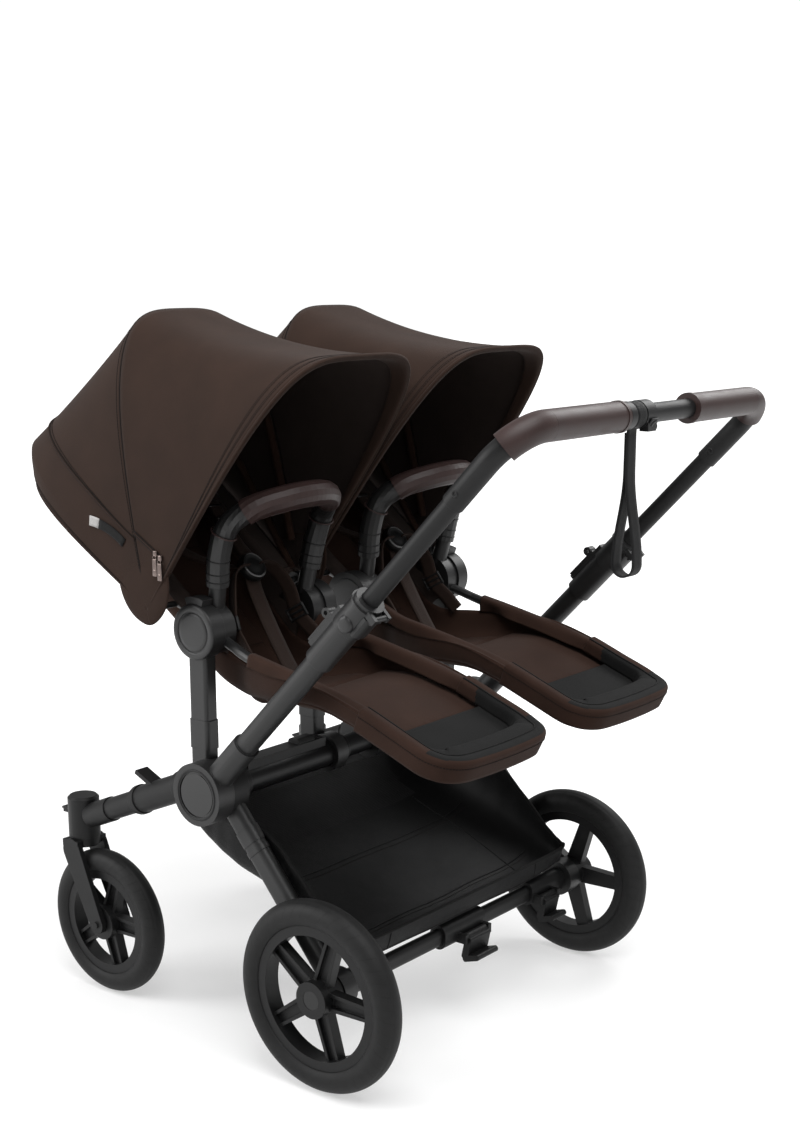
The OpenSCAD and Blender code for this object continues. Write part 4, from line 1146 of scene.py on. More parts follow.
@dataclass
class Fittings:
    """Turned caps, rings, screws and pins on the rigid pieces.

    Attributes:
        seat_hub: Place and height of a seat hub.
        disc_x: Outer face of a seat hub's disc.
        lean: Lean of the handle in degrees.
        handle_x: Sideways place of a handle tube.
        bumper: A bumper bar's line: offset, place and height.
    """

    seat_hub: tuple[float, float] = (-270.0, 672.0)
    disc_x: float = 326.0
    lean: float = 46.0
    handle_x: float = 343.0
    bumper: tuple[Point, ...] = (
        (106, -253, 742), (111, -244, 790), (110, -226, 834), (90, -196, 862), (46, -168, 876),
        (0, -158, 880),
    )

    def on_handle(self, along: float, down: float, out: float) -> Vector:
        """A place along the handle from its hub, below and outside the tube's middle."""
        return at(self.handle_x + out, *HUB) + (lean(self.lean) * along + lean(self.lean - 90.0) * down) * MM

    def turned(self) -> None:
        """Rings and caps on the hubs, collar buttons, pin ends and sleeve screws."""
        disc = at(self.disc_x, *self.seat_hub)
        on_frame, on_handle = fixed("chassis", "frame_grey"), fixed("handle", "frame_grey")
        ring = ((-0.6, 43.3), (1.0, 43.0), (2.1, 41.8), (2.5, 38.5), (2.5, 33.2), (1.9, 32.3), (-0.6, 32.0))
        cap = ((-0.4, 30.6), (1.7, 30.3), (2.4, 29.4), (2.7, 24.0), (2.8, 0.0))
        rim = ((-0.6, 41.4), (0.7, 41.0), (1.3, 39.4), (0.9, 37.6), (-0.6, 37.0))
        knob = ((-6.0, 12.4), (0.4, 12.2), (1.8, 11.0), (2.6, 8.0), (2.9, 0.0))
        pin = ((-1.0, 2.7), (0.8, 2.6), (1.3, 1.8), (1.4, 0.0))
        head = ((-1.0, 5.2), (0.5, 4.992), (1.0, 4.16), (1.0, 2.6), (-0.6, 2.288), (-0.6, 0.0))
        on_hub, on_bar = fixed("handle", "satin_black"), fixed("handlebar", "satin_black")
        for name, shape, place, axis, steps, carry, finish in (
            ("seat_hub_ring", ring, disc, OUT, 72, on_frame, FRAME_GREY),
            ("seat_hub_cap", cap, disc, OUT, 72, on_frame, FRAME_GREY),
            ("hub_cap_rim", rim, self.on_handle(0.0, 0.0, 24.4), OUT, 72, on_hub, SATIN_BLACK),
            ("collar_button", knob, self.on_handle(432.0, 4.0, 23.6), OUT, 48, on_handle, FRAME_GREY),
            ("clamp_pin_end", pin, self.on_handle(469.0, 29.0, 12.2), OUT, 24, on_handle, WHITE_PIN),
            ("sleeve_screw", head, self.on_handle(700.0, 0.0, 16.4), OUT, 28, on_bar, SATIN_BLACK),
            ("sleeve_screw_in", head, self.on_handle(700.0, 0.0, -16.4), -OUT, 28, on_bar, SATIN_BLACK),
        ):
            both_sides(lathe(shape, place, axis, steps), name, carry, finish)

    def bumpers(self) -> None:
        """Collars low on the bumper's legs and hems at the ends of its cover."""
        path = smooth_path(self.bumper, 8)
        for hand, tag in HANDS:

            def ring(i: int, radius: float, wire: float) -> Object:
                """A ring round the bumper at a step of its line."""
                x, y, z = path[i + 1] - path[i - 1]
                return hoop(on_seat_at(hand, path[i]), Vector((hand * x, y, z)), radius, wire)

            rings = joined([ring(i, 18.1, 0.9) for i in (2, 4, 7)], SATIN_BLACK)
            both_sides(rings, f"bumper_rings_{tag}", fixed("SIDE_seat", "satin_black"))
            both_sides(ring(14, 20.2, 1.3), f"bumper_hem_{tag}", fixed("SIDE_seat", "leatherette"), LEATHER)

    def holder(self) -> None:
        """The strap holder's flap and snap."""
        face = Vector((0.0, 0.82, -0.57))
        turn = UP.rotation_difference(face).to_matrix().to_4x4()
        place = at(33.0, *PUSH_BAR) + face * 0.0212
        snap = ((0.4, 7.2), (2.6, 6.8), (3.4, 5.2), (3.0, 3.4), (2.4, 2.2), (2.6, 0.0))
        carry = fixed("handlebar", "satin_black")
        flap = block((21.0, 17.0, 3.2), Matrix.Translation(place) @ turn, 1.5)
        single(flap, "holder_flap", carry, BLACK_HIDE)
        single(lathe(snap, place, face, 32), "holder_snap", carry, SATIN_BLACK)

    def build(self) -> None:
        """Adds all the fittings."""
        self.turned()
        self.bumpers()
        self.holder()


@dataclass
class Tyre:
    """One tyre with a round section and cut shoulders.

    Attributes:
        radius: Outer radius.
        width: Width of the section.
        x: Sideways place of its middle.
        y: Place from the rear axle.
        name: front or rear.
        steps: Steps round the section.
    """

    radius: float
    width: float
    x: float
    y: float
    name: str
    steps: int = 56

    def section(self) -> list[tuple[float, float]]:
        """The tyre's closed section.

        Returns:
            Pairs of sideways place and radius.
        """
        mid, half = self.radius - self.width / 2, self.width / 2
        open_turn = math.acos(-0.72)
        points: list[tuple[float, float]] = []
        for k in range(self.steps + 1):
            turn = -open_turn + 2 * open_turn * k / self.steps
            cut = sum(1.1 * math.exp(-(((math.degrees(turn) - c) / 2.2) ** 2)) for c in (-27.0, 27.0))
            points.append(((half - cut) * math.sin(turn), mid + (half - cut) * math.cos(turn)))
        return points

    def build(self) -> None:
        """Makes the tyre, with its turn and its section as its map, and fits it on both sides."""
        bm = bmesh.new()
        ring = [bm.verts.new((x * MM, 0.0, r * MM)) for x, r in self.section()]
        whole = ring + [bm.edges.new(pair) for pair in zip(ring, ring[1:] + ring[:1])]
        bmesh.ops.spin(bm, geom=whole, cent=(0, 0, 0), axis=OUT, angle=FULL_TURN, steps=144, use_merge=True)
        bmesh.ops.remove_doubles(bm, verts=bm.verts, dist=WELD)
        bmesh.ops.recalc_face_normals(bm, faces=bm.faces)
        uv = bm.loops.layers.uv.new("UVMap")
        mid = (self.radius - self.width / 2) * MM
        for face in bm.faces:
            centre = face.calc_center_median()
            home = math.atan2(centre.y, centre.z)
            for loop in face.loops:
                x, y, z = loop.vert.co
                turn = math.atan2(y, z)
                turn += FULL_TURN * round((home - turn) / FULL_TURN)
                loop[uv].uv = (turn / FULL_TURN, math.atan2(x, math.hypot(y, z) - mid) / FULL_TURN + 0.5)
        bmesh.ops.translate(bm, vec=at(self.x, self.y, self.radius), verts=bm.verts)
        part = f"{self.name}_tyre"
        carry = fixed(f"SIDE_{self.name}_wheel", "tyre", lambda p, s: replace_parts(p, s.node(part)))
        both_sides(piece_from(bm), f"{part}_rubber", carry, TYRE)


@dataclass
class Canopy:
    """Folding sun canopy of one seat: front panel, back with skirt, seams, zip and inner sleeves.

    Attributes:
        half_w: Half its width.
        square: Squareness of its front and back arches.
        mid_square: Squareness of its middle arch.
        pivot: Place and height of its pivots.
        brim: Angle and reach of the front edge.
        middle: Angle and reach of the middle bow.
        back: Angle and reach of the upper back edge.
        skirt: Angle and reach of the skirt's edge.
        sag: Fall of the front panel between its bows.
        depth: Depth of the skirt from its zip to its hem.
        fold: Share of the back that lies above its edge.
        cols: Steps along an arch.
    """

    half_w: float = 178.0
    square: float = 4.2
    mid_square: float = 3.5
    pivot: tuple[float, float] = (-335.0, 705.0)
    brim: tuple[float, float] = (53.0, 485.0)
    middle: tuple[float, float] = (101.0, 458.0)
    back: tuple[float, float] = (144.0, 418.0)
    skirt: tuple[float, float] = (150.0, 380.0)
    sag: float = 19.0
    depth: float = 90.0
    fold: float = 0.75
    cols: int = 96

    def __post_init__(self) -> None:
        """Spreads the threads evenly over the arch."""
        self.turns = even_turns(self.cols, self.half_w, 430.0, self.square, 0.05)
        self.front_lean = (self.middle[0] + self.brim[0]) / 2

    def turn(self, v: float) -> float:
        """Degrees on the arch at a share of its length."""
        return between(self.turns, v)

    def spoke(self, x: float, reach: float, angle: float) -> Vector:
        """A place at a sideways offset, a reach from the pivot and an angle."""
        return at(SEAT_X + x, *self.pivot) + lean(angle) * (reach * MM)

    def place(
        self, angle: float, reach: float, turn: float, inset: float = 0.0, square: float = 0.0
    ) -> Vector:
        """A place on an arch of an angle and reach, at degrees along it and a distance inside it."""
        return self.spoke(*arch(turn, self.half_w - inset, reach - inset, square or self.square), angle)

    def front(self, u: float, v: float, inset: float = 0.0) -> Vector:
        """A place on the front panel.

        Args:
            u: Share of the way from the middle bow to the brim.
            v: Share of the arch.
            inset: Distance inside the panel.

        Returns:
            The place.
        """
        turn = self.turn(v)
        first = self.place(*self.middle, turn, inset, self.mid_square)
        place = first.lerp(self.place(*self.brim, turn, inset), u)
        return place - lean(self.front_lean) * (self.sag * hump(u) * math.sin(math.radians(turn)) * MM)

    def rear(self, u: float, v: float, inset: float = 0.0) -> Vector:
        """A place on the back.

        Args:
            u: Share of the way from the middle bow over the zip to the skirt's edge.
            v: Share of the arch.
            inset: Distance inside the back.

        Returns:
            The place.
        """
        turn = self.turn(1.0 - v)
        edge = self.place(*self.back, turn, inset)
        if u <= self.fold:
            share = u / self.fold
            first = self.place(self.middle[0] + 0.12, self.middle[1], turn, inset, self.mid_square)
            tight = 5.0 * hump(share) * math.sin(math.radians(turn)) ** 2
            return first.lerp(edge, share) - lean(120.0) * tight * MM
        share = (u - self.fold) / (1.0 - self.fold)
        return edge.lerp(self.place(*self.skirt, turn, inset), share) + lean(146.0) * (4.0 * hump(share) * MM)

    def on_bow(self, piece: Object, side: Side) -> None:
        """Bakes a piece of the front panel's placing into its mesh, without fixing it on any body.

        Args:
            piece: The piece.
            side: Its side.
        """
        hinge = at(side.hand * SEAT_X, *self.pivot)
        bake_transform(piece)

    def panels(self) -> None:
        """The front panel and the back, lined in dark cloth."""

        def carry_front(piece: Object, side: Side) -> None:
            """Bakes the front panel in place and hides the imported panel that it replaces.

            Args:
                piece: The piece.
                side: Its side.
            """
            self.on_bow(piece, side)
            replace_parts(piece, side.node("canopy_front"))

        def carry_back(piece: Object, side: Side) -> None:
            """Fixes the back.

            Args:
                piece: The piece.
                side: Its side.
            """
            BROWN_ON_SEAT(piece, side)
            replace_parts(piece, side.node("canopy_back"))

        for name, rows, surface, carry in (
            ("canopy_panel", 36, self.front, carry_front), ("canopy_hood", 48, self.rear, carry_back),
        ):
            sheet = cloth_sheet(rows, self.cols, surface, 1.8, lined=True)
            both_sides(sheet, name, carry, CANOPY_CLOTH, LINING_CLOTH)

    def line(self, surface: Callable[..., Vector], u: float, inset: float, trim: float = 0.0) -> list[Vector]:
        """Places along one arch of a panel, at a share across it, less a share at each foot."""
        return [surface(u, trim + (1 - 2 * trim) * k / 120, inset) for k in range(121)]

    def outward(self, line: Sequence[Vector]) -> list[Vector]:
        """Outward directions along an arch of the canopy."""
        hub = at(SEAT_X, self.pivot[0], self.pivot[1] + 60.0)
        return [(p - hub).normalized() for p in line]

    def seams(self) -> None:
        """The bindings, the brim's facing, dark cords painted as the shadow in the seams, and the seams'
        stitches.
        """
        # The dark seam cords on the brim and along the middle stand for the shadow in the seams' grooves:
        # painted shade.
        for name, surface, u, inset, trim, radius, sides, finish in (
            ("brim_binding", self.front, 1.0, 1.0, 0.0, 3.0, 3, CANOPY_CLOTH),
            ("brim_seam", self.front, 0.945, 0.35, 0.002, 0.7, 2, SEAM_SHADOW_AND_TAPE),
            ("brim_seam_in", self.front, 0.902, 0.35, 0.002, 0.7, 2, SEAM_SHADOW_AND_TAPE),
            ("middle_fold", self.rear, 0.002, 0.3, 0.002, 1.2, 3, SEAM_SHADOW_AND_TAPE),
            ("skirt_binding", self.rear, 1.0, 1.0, 0.0, 2.3, 3, CANOPY_CLOTH),
        ):
            carry = self.on_bow if name.startswith("brim") else BROWN_ON_SEAT
            both_sides(cord(self.line(surface, u, inset, trim), radius, sides), name, carry, finish)
        for name, surface, u in (
            ("brim_stitch", self.front, 0.957), ("brim_stitch_in", self.front, 0.914),
            ("middle_stitch", self.rear, 0.03),
            ("hem_stitch", self.rear, 0.955), ("hem_stitch_in", self.rear, 0.93),
        ):
            row = self.line(surface, u, -0.15, 0.004)
            carry = self.on_bow if name.startswith("brim") else BROWN_ON_SEAT
            both_sides(stitches(row, self.outward(row)), name, carry)
        wrap = smooth_path(((0.925, 8.6), (0.982, 8.8), (1.001, 7.6), (1.006, 4.0), (1.003, 0.6)), 4)
        last = len(wrap) - 1

        def facing(u: float, v: float) -> Vector:
            """A place on the cloth that wraps the front bow."""
            share, inset = wrap[round(u * last)]
            return self.front(share, v, inset)

        both_sides(cloth_sheet(last, self.cols, facing, 1.0), "brim_facing", self.on_bow, CANOPY_CLOTH)

    def wall(self, reach: float, angle: float, out: float) -> Vector:
        """A place on the outer side wall, at a reach and angle from the pivot and outside the cloth."""
        wide = self.half_w * (1.0 - (reach / 440.0) ** self.square) ** (1.0 / self.square)
        return self.spoke(wide + out, reach, angle)

    def back_reach(self, v: float) -> float:
        """About how far the back lies from the pivot at a share of the arch."""
        return arch(self.turn(1.0 - v), self.half_w, 400.0, self.square)[1]

    def zip_share(self, v: float) -> float:
        """Share across the back at which the zip runs, so that the skirt keeps its depth."""
        angle = self.skirt[0] - math.degrees(math.asin(min(self.depth / max(self.back_reach(v), 1.0), 0.99)))
        return self.fold * clamp((angle - self.middle[0]) / (self.back[0] - self.middle[0]))

    def zip_band(self) -> None:
        """The zip between back and skirt, and its end on the front panel."""
        start = next(k / 4000 for k in range(1200) if self.zip_share(k / 4000) > 0.012)
        count = 160
        shares = [start + (1.0 - 2.0 * start) * k / count for k in range(count + 1)]

        def tape(u: float, v: float) -> Vector:
            """A place on the zip's tape.

            Args:
                u: Share of its width.
                v: Share of its length.

            Returns:
                The place.
            """
            w = start + (1.0 - 2.0 * start) * v
            across = self.zip_share(w) + (u - 0.5) * 6.0 / max(self.back_reach(w), 60.0)
            return self.rear(max(across, 0.002), w, -0.7)

        both_sides(cloth_sheet(4, count, tape, 0.8), "zip_tape", BROWN_ON_SEAT, SEAM_SHADOW_AND_TAPE)
        teeth = cord([self.rear(self.zip_share(w), w, -1.2) for w in shares], 1.1, 2)
        both_sides(teeth, "zip_teeth", BROWN_ON_SEAT, CANOPY_CLOTH)
        flap = [self.rear(max(self.zip_share(w) - 0.022, 0.001), w, -0.3) for w in shares]
        both_sides(stitches(flap, self.outward(flap)), "zip_stitch", BROWN_ON_SEAT)
        angles = np.linspace(self.middle[0], 66.0, 25)
        tail = [self.wall(self.depth / math.sin(math.radians(self.skirt[0] - a)), a, 0.8) for a in angles]
        both_sides(ribbon(tail, [UP], 6.5, 0.8), "zip_tail", self.on_bow, SEAM_SHADOW_AND_TAPE)
        teeth = cord([p + OUT * 0.0005 for p in tail], 1.1, 2)
        both_sides(teeth, "zip_tail_teeth", self.on_bow, CANOPY_CLOTH)
        for k, i in enumerate((18, 23)):
            both_sides(self.zip_pull(tail[i] + OUT * 0.0018), f"zip_pull_{k}", self.on_bow)

    def zip_pull(self, top: Vector) -> Object:
        """A zip's slider with its ring and tab.

        Args:
            top: Place of the slider.

        Returns:
            The piece.
        """
        near = top + OUT * 0.0018
        turns = np.linspace(0, 6.2, 14)
        ring = [near + Vector((0.0, 0.0032 * math.cos(t), 0.0032 * math.sin(t) - 0.006)) for t in turns]
        parts = [
            block((3.6, 8.0, 9.0), Matrix.Translation(top), 1.4), cord(ring, 0.8, 1, True),
            block((2.0, 9.0, 27.0), Matrix.Translation(near - UP * 0.0215), 0.95),
            block((2.8, 6.0, 9.0), Matrix.Translation(near - UP * 0.029), 1.2),
        ]
        return joined(parts, BRONZE)

    def label(self) -> None:
        """A plain sewn label without marks on the outer side."""
        spots = [self.wall(178.0 - 69.0 * k / 12, 134.4 - 19.0 * k / 12, 1.0) for k in range(13)]
        across = [Vector((0.0, 0.6, 0.8))]
        both_sides(ribbon(spots[:4], across, 16.0, 0.9), "label_end", BROWN_ON_SEAT, LABEL_PALE)
        both_sides(ribbon(spots[3:], across, 15.0, 0.8), "label", BROWN_ON_SEAT, PIPING)

    def corner_reach(self, angle: float) -> float:
        """How far the cloth's rounded lower corner reaches from the pivot at an angle in degrees.

        Args:
            angle: Degrees up from straight back.

        Returns:
            The reach.
        """
        off = max(self.brim[0] - angle, angle - self.skirt[0] + 4.0, 0.0)
        half = (360.0 - (self.skirt[0] - 4.0 - self.brim[0])) / 2
        return 25.0 + 52.0 * (1.0 - min(off / half, 1.0)) ** 3

    def corners(self) -> None:
        """Rounded lower corners of the cloth over the pivots."""
        start = (self.brim[0] + self.skirt[0]) / 2 - 180.0
        for hand, tag in HANDS:

            def fan(u: float, v: float) -> Vector:
                """A place on the corner, from the pivot outwards.

                Args:
                    u: Share of the way.
                    v: Share of a turn.

                Returns:
                    The place.
                """
                angle = start + 360.0 * (v if hand > 0 else 1.0 - v)
                out = self.half_w + 1.5 - 2.6 * u**4
                return self.spoke(hand * out, self.corner_reach(angle) * max(u, 0.004), angle)

            both_sides(cloth_sheet(12, 72, fan, 1.2), f"cloth_corner_{tag}", BROWN_ON_SEAT, CANOPY_CLOTH)

    def sleeves(self) -> None:
        """Sleeves for the bows under the lining."""
        bow = (self.middle[0] + 0.8, self.middle[1])
        middle = [self.place(*bow, t, 10.0, self.mid_square) for t in np.linspace(2.0, 178.0, 120)]
        both_sides(cord(middle, 7.2), "middle_sleeve", BROWN_ON_SEAT, SEAT_CLOTH)
        both_sides(cord(self.line(self.rear, 0.4, 9.5, 0.01), 6.8), "rear_sleeve", BROWN_ON_SEAT, SEAT_CLOTH)

    def build(self) -> None:
        """Builds the whole canopy on both seats."""
        self.panels()
        self.seams()
        self.zip_band()
        self.label()
        self.corners()
        self.sleeves()


@dataclass
class Seat:
    """Seat sling, padded liner and leg rest of one seat.

    Attributes:
        half_w: Half the width of the leg rest.
        wall: Thickness of the sling.
        cloth_mm: Thickness of the thin cloth beside it.
        square: Squareness of the sling's section.
        channels: Quilted channels along the liner.
        filling: Thickness of the liner.
        cols: Steps across the sling.
        rows: Place, height, half width, wall height and wall lean along the sling.
        rail: The side rail under its cover: offset, place and height.
        head_low: Half of the head panel's edge on the sling: offset, place and height.
        head_high: Half of its edge on the hood.
    """

    half_w: float = 134.0
    wall: float = 3.2
    cloth_mm: float = 1.4
    square: float = 6.0
    channels: int = 6
    filling: float = 14.0
    cols: int = 48
    rows: tuple[Point, ...] = (
        (-592, 862, 112, 40, 47), (-500, 776, 106, 46, 47), (-412, 694, 96, 54, 49), (-346, 634, 86, 62, 58),
        (-290, 584, 84, 70, 76), (-236, 562, 84, 76, 90), (-178, 566, 108, 70, 98), (-110, 576, 130, 58, 96),
        (-40, 580, 133, 50, 84), (30, 564, 134, 48, 70), (100, 538, 134, 48, 68), (150, 519, 134, 48, 68),
        (180, 508, 126, 46, 68), (200, 510, 100, 37, 68), (210, 526, 66, 20, 68),
    )
    rail: tuple[Point, ...] = (
        (118, -172, 637), (118, -120, 627.5), (118, -60, 616), (118, 0, 602.5), (118, 62, 586),
    )
    head_low: tuple[Point, ...] = (
        (0, -589, 865), (88, -589, 864), (107, -586, 866), (115, -574, 878), (136, -556, 890),
        (161, -549, 884),
    )
    head_high: tuple[Point, ...] = (
        (0, -657, 897), (70, -656, 896), (112, -646, 890), (140, -622, 877), (152, -600, 874),
        (161, -549, 884),
    )

    def __post_init__(self) -> None:
        """Draws the sling's lines."""
        self.line = smooth_path(self.rows, 6)
        self.turns = even_turns(self.cols, 120.0, 56.0, self.square)

    def share_at(self, y: float) -> float:
        """The share of the sling's length at a place from the rear axle."""
        return float(np.interp(y, [r[0] for r in self.line], np.linspace(0.0, 1.0, len(self.line))))

    def row_at(self, y: float) -> np.ndarray:
        """The sling's values at a place from the rear axle."""
        return between(self.line, self.share_at(y))

    def spot(self, row: np.ndarray, x: float, height: float) -> tuple[float, float, float]:
        """A place in millimetres, off the seat's middle and up the lean of the sling's wall."""
        tilt = math.radians(row[4])
        return x, row[0] + height * math.cos(tilt), row[1] + height * math.sin(tilt)

    def bed(self, y: float, x: float, height: float) -> Vector:
        """A place in metres above the sling's bottom line."""
        return on_seat_at(1.0, self.spot(self.row_at(y), x, height))

    def sling(self, u: float, v: float) -> Vector:
        """A place on the sling's outer side, at shares of its length and its section.

        Args:
            u: Share of its length.
            v: Share of its section.

        Returns:
            The place.
        """
        row = between(self.line, u)
        x, r = arch(180.0 - between(self.turns, v), row[2], row[3], self.square)
        return on_seat_at(1.0, self.spot(row, x, row[3] - r))

    def shell(self) -> None:
        """The cloth sling."""
        carry = fixed(
            "SIDE_seat", "brown_fabric", lambda p, s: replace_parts(p, s.node("seat_shell")),
            lambda p, s: (p, s.node("seat_frame"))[0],
        )
        sling = cloth_sheet(len(self.line) - 1, self.cols, self.sling, self.wall)
        both_sides(sling, "seat_sling", carry, SEAT_CLOTH)

    def liner(self) -> None:
        """The padded liner of back and seat, filled and sewn across."""
        low, high = self.share_at(-580.0), self.share_at(-112.0)
        under_mm, thin, power = self.wall + 2.2, 0.62, self.square

        def under(u: float, v: float) -> Vector:
            """A place on the liner's underside.

            Args:
                u: Share of its length.
                v: Share of its width.

            Returns:
                The place.
            """
            row = between(self.line, low + (high - low) * u)
            half = row[2] - self.wall - 13.0 - 3.0 * abs(math.cos(math.pi * self.channels * u))
            share = abs(2 * v - 1) * half / (row[2] - self.wall)
            rise = under_mm + (row[3] - self.wall) * (1 - (1 - share**power) ** (1 / power)) * 0.9
            return on_seat_at(1.0, self.spot(row, (1 - 2 * v) * half, rise))

        def thick(u: float, v: float) -> float:
            """The liner's thickness, less at its edges and seams.

            Args:
                u: Share of its length.
                v: Share of its width.

            Returns:
                The thickness.
            """
            edge = min(1.0, 8.0 * min(u, 1 - u, v, 1 - v) + 0.35)
            waves = abs(math.sin(math.pi * self.channels * u)) ** 0.6
            return self.filling * edge * (thin + (1 - thin) * waves)

        carry = fixed(
            "SIDE_seat", "brown_fabric", lambda p, s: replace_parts(p, s.node("seat_pad")),
            lambda p, s: p,
        )
        both_sides(plump(cushion(under, thick, (72, 28, 3)), 4.0, 3.0), "seat_liner", carry, SEAT_PAD_CLOTH)
        for k in range(1, self.channels):
            row = between(self.line, low + (high - low) * k / self.channels)
            height = under_mm + self.filling * thin + 2.6
            spots = [self.bed(row[0], x, height) for x in np.linspace(-row[2] * 0.6, row[2] * 0.6, 40)]
            both_sides(stitches(spots, [lean(row[4])] * len(spots)), f"quilt_stitch_{k}", BROWN_ON_SEAT)

    def leg_rest(self) -> None:
        """The leg rest's brown pad and black foot panel."""

        def board(u: float, v: float) -> Vector:
            """A place on the pad's underside."""
            y = -108.0 + 194.0 * u
            return self.bed(y, (1 - 2 * v) * (self.row_at(y)[2] - self.wall - 5.0), self.wall + 6.0)

        def crown(u: float, v: float) -> float:
            """The pad's thickness, less at its edges."""
            return 13.0 * min(1.0, 0.55 + 5.0 * min(u, 1 - u, v, 1 - v))

        def foot(u: float, v: float) -> Vector:
            """A place on the foot panel.

            Args:
                u: Share of its length.
                v: Share of its width.

            Returns:
                The place.
            """
            y = 84.0 + 108.0 * u
            half = self.half_w - 8.0 - 34.0 * max(0.0, (y - 150.0) / 42.0) ** 3
            return self.bed(min(y, 182.0), (1 - 2 * v) * half, 19.0) + lean(0.0) * (max(0.0, y - 182.0) * MM)

        carry = fixed("SIDE_seat", "brown_fabric", lambda p, s: p)
        both_sides(plump(cushion(board, crown, (40, 28, 3)), 3.0, 2.5), "leg_pad", carry, SEAT_PAD_CLOTH)
        carry = fixed("SIDE_seat", "dark_fabric", lambda p, s: p)
        both_sides(cloth_sheet(40, 40, foot, 5.0), "foot_panel", carry, FOOT_CLOTH)

    def rim_path(self) -> list[Vector]:
        """The leg rest's upper edge from one side round its end to the other.

        Returns:
            Places in millimetres: offset, place and height.
        """
        rows = [self.row_at(y) for y in np.linspace(40.0, 150.0, 12)]
        side = [self.spot(row, row[2] + 0.4, 0.84 * row[3]) for row in rows]
        end = ((131.5, 15, -5.5), (121.0, 38, -11.5), (98.0, 54, -15.0), (64.0, 59, -16.3), (0.0, 61, -16.8))
        half = side + [(x, side[-1][1] + y, side[-1][2] + z) for x, y, z in end]
        return [Vector(p) for p in smooth_path(half + [(-x, y, z) for x, y, z in reversed(half[:-1])], 4)]

    def rim(self) -> None:
        """The brown box side rolled over the leg rest's edge, its piping and the tray's inner wall."""
        path = self.rim_path()
        count = len(path) - 1
        down = Vector((0.0, -0.37, -0.93))
        ways = [path[min(i + 1, count)] - path[max(i - 1, 0)] for i in range(count + 1)]
        inward = [down.cross(way.normalized()).normalized() * -1.0 for way in ways]
        roll = ((1.0, 34.0), (-0.8, 7.0), (0.4, 0.6), (5.0, -2.6), (12.0, -2.6), (18.5, -0.8))
        outer = smooth_path(roll, 4)
        inner = smooth_path(((0.0, -0.6), (0.5, 1.0), (0.82, 5.5), (1.0, 21.0)), 4)

        def spot(i: int, into: float, below: float) -> Vector:
            """A place beside the edge, inwards and below it."""
            return on_seat_at(1.0, path[i] + inward[i] * into + down * below)

        def box(u: float, v: float) -> Vector:
            """A place on the box side."""
            return spot(round(u * count), *outer[round(v * 20)])

        def tray(u: float, v: float) -> Vector:
            """A place on the tray's inner wall."""
            i, (share, below) = round(u * count), inner[round(v * 12)]
            return spot(i, 18.5 + (8.5 + 27.0 * ease(clamp((path[i].y - 145.0) / 60.0))) * share, below)

        strip = finish_mesh(cloth_sheet(count, 20, box, 1.6, 0.0), [SEAT_CLOTH, FOOT_CLOTH])
        for face in strip.data.polygons:
            face.material_index = int(face.center.y > (172.0 + AXLE_Y) * MM and abs(face.normal.z) > 0.72)
        both_sides(strip, "leg_rest_side", BROWN_ON_SEAT)
        wall = finish_mesh(cloth_sheet(count, 12, tray, self.cloth_mm, 0.0), [FOOT_CLOTH, SEAT_CLOTH])
        for face in wall.data.polygons:
            face.material_index = int(face.center.y < (84.0 + AXLE_Y) * MM)
        both_sides(wall, "leg_rest_wall", DARK_ON_SEAT)
        piping = cord([spot(i, 18.8, -1.6) for i in range(count + 1)], 1.6)
        both_sides(piping, "leg_rest_piping", DARK_ON_SEAT, PIPING)
        row = [spot(i, -1.9, 9.0) for i in range(count + 1)]
        both_sides(stitches(row, [-way for way in inward]), "side_stitch", BROWN_ON_SEAT)

    def rail_covers(self) -> None:
        """Cloth rolled over the side rails, from the sling's edge to the pad."""
        near_hub = ((104.0, -262.0, 664.0), (112.0, -214.0, 650.0))
        for (hand, tag), first in zip(HANDS, ((), near_hub)):
            rail = smooth_path(first + self.rail, 8)
            count = len(rail) - 1

            def over(u: float, v: float) -> Vector:
                """A place on the cover, from the sling's edge over the rail to the pad.

                Args:
                    u: Share of its length.
                    v: Share of its width.

                Returns:
                    The place.
                """
                x, y, z = rail[round(u * count)]
                row = self.row_at(y)
                top = row[1] + 0.77 * row[3] * math.sin(math.radians(row[4]))
                share, slim = clamp((row[2] - 118.0) / 12.0), clamp((62.0 - y) / 45.0)
                edge = (max(row[2] + 1.0, x + 11.0), y, (z - 8.0) * (1 - share) + top * share)
                low = Vector((row[2] - 2.0, y, top)).lerp(Vector((x - 7.0 - 9.0 * slim, y, z - 10.0)), share)
                near = (x - 6.0 - 3.0 * slim, y, z + 5.0)
                knots = (edge, (x + 8.0, y, z + 7.5), (x - 1.0, y, z + 9.4), near, tuple(low))
                return on_seat_at(hand, smooth_path(knots, 5)[round((v if hand > 0 else 1.0 - v) * 20)])

            cover = cloth_sheet(count, 20, over, self.cloth_mm, 1.0)
            both_sides(cover, f"rail_cover_{tag}", BROWN_ON_SEAT, SEAT_CLOTH)

    def wings(self) -> None:
        """Cloth wings from the sling's edge over the back rail to the canopy."""
        low, high = self.share_at(-588.0), self.share_at(-268.0)
        start, back, face = Vector((0, -340, 726)), Vector((0, -0.777, 0.629)), Vector((0, 0.629, 0.777))
        pivot = Vector((0.0, *Canopy.pivot))
        for hand, tag in HANDS:

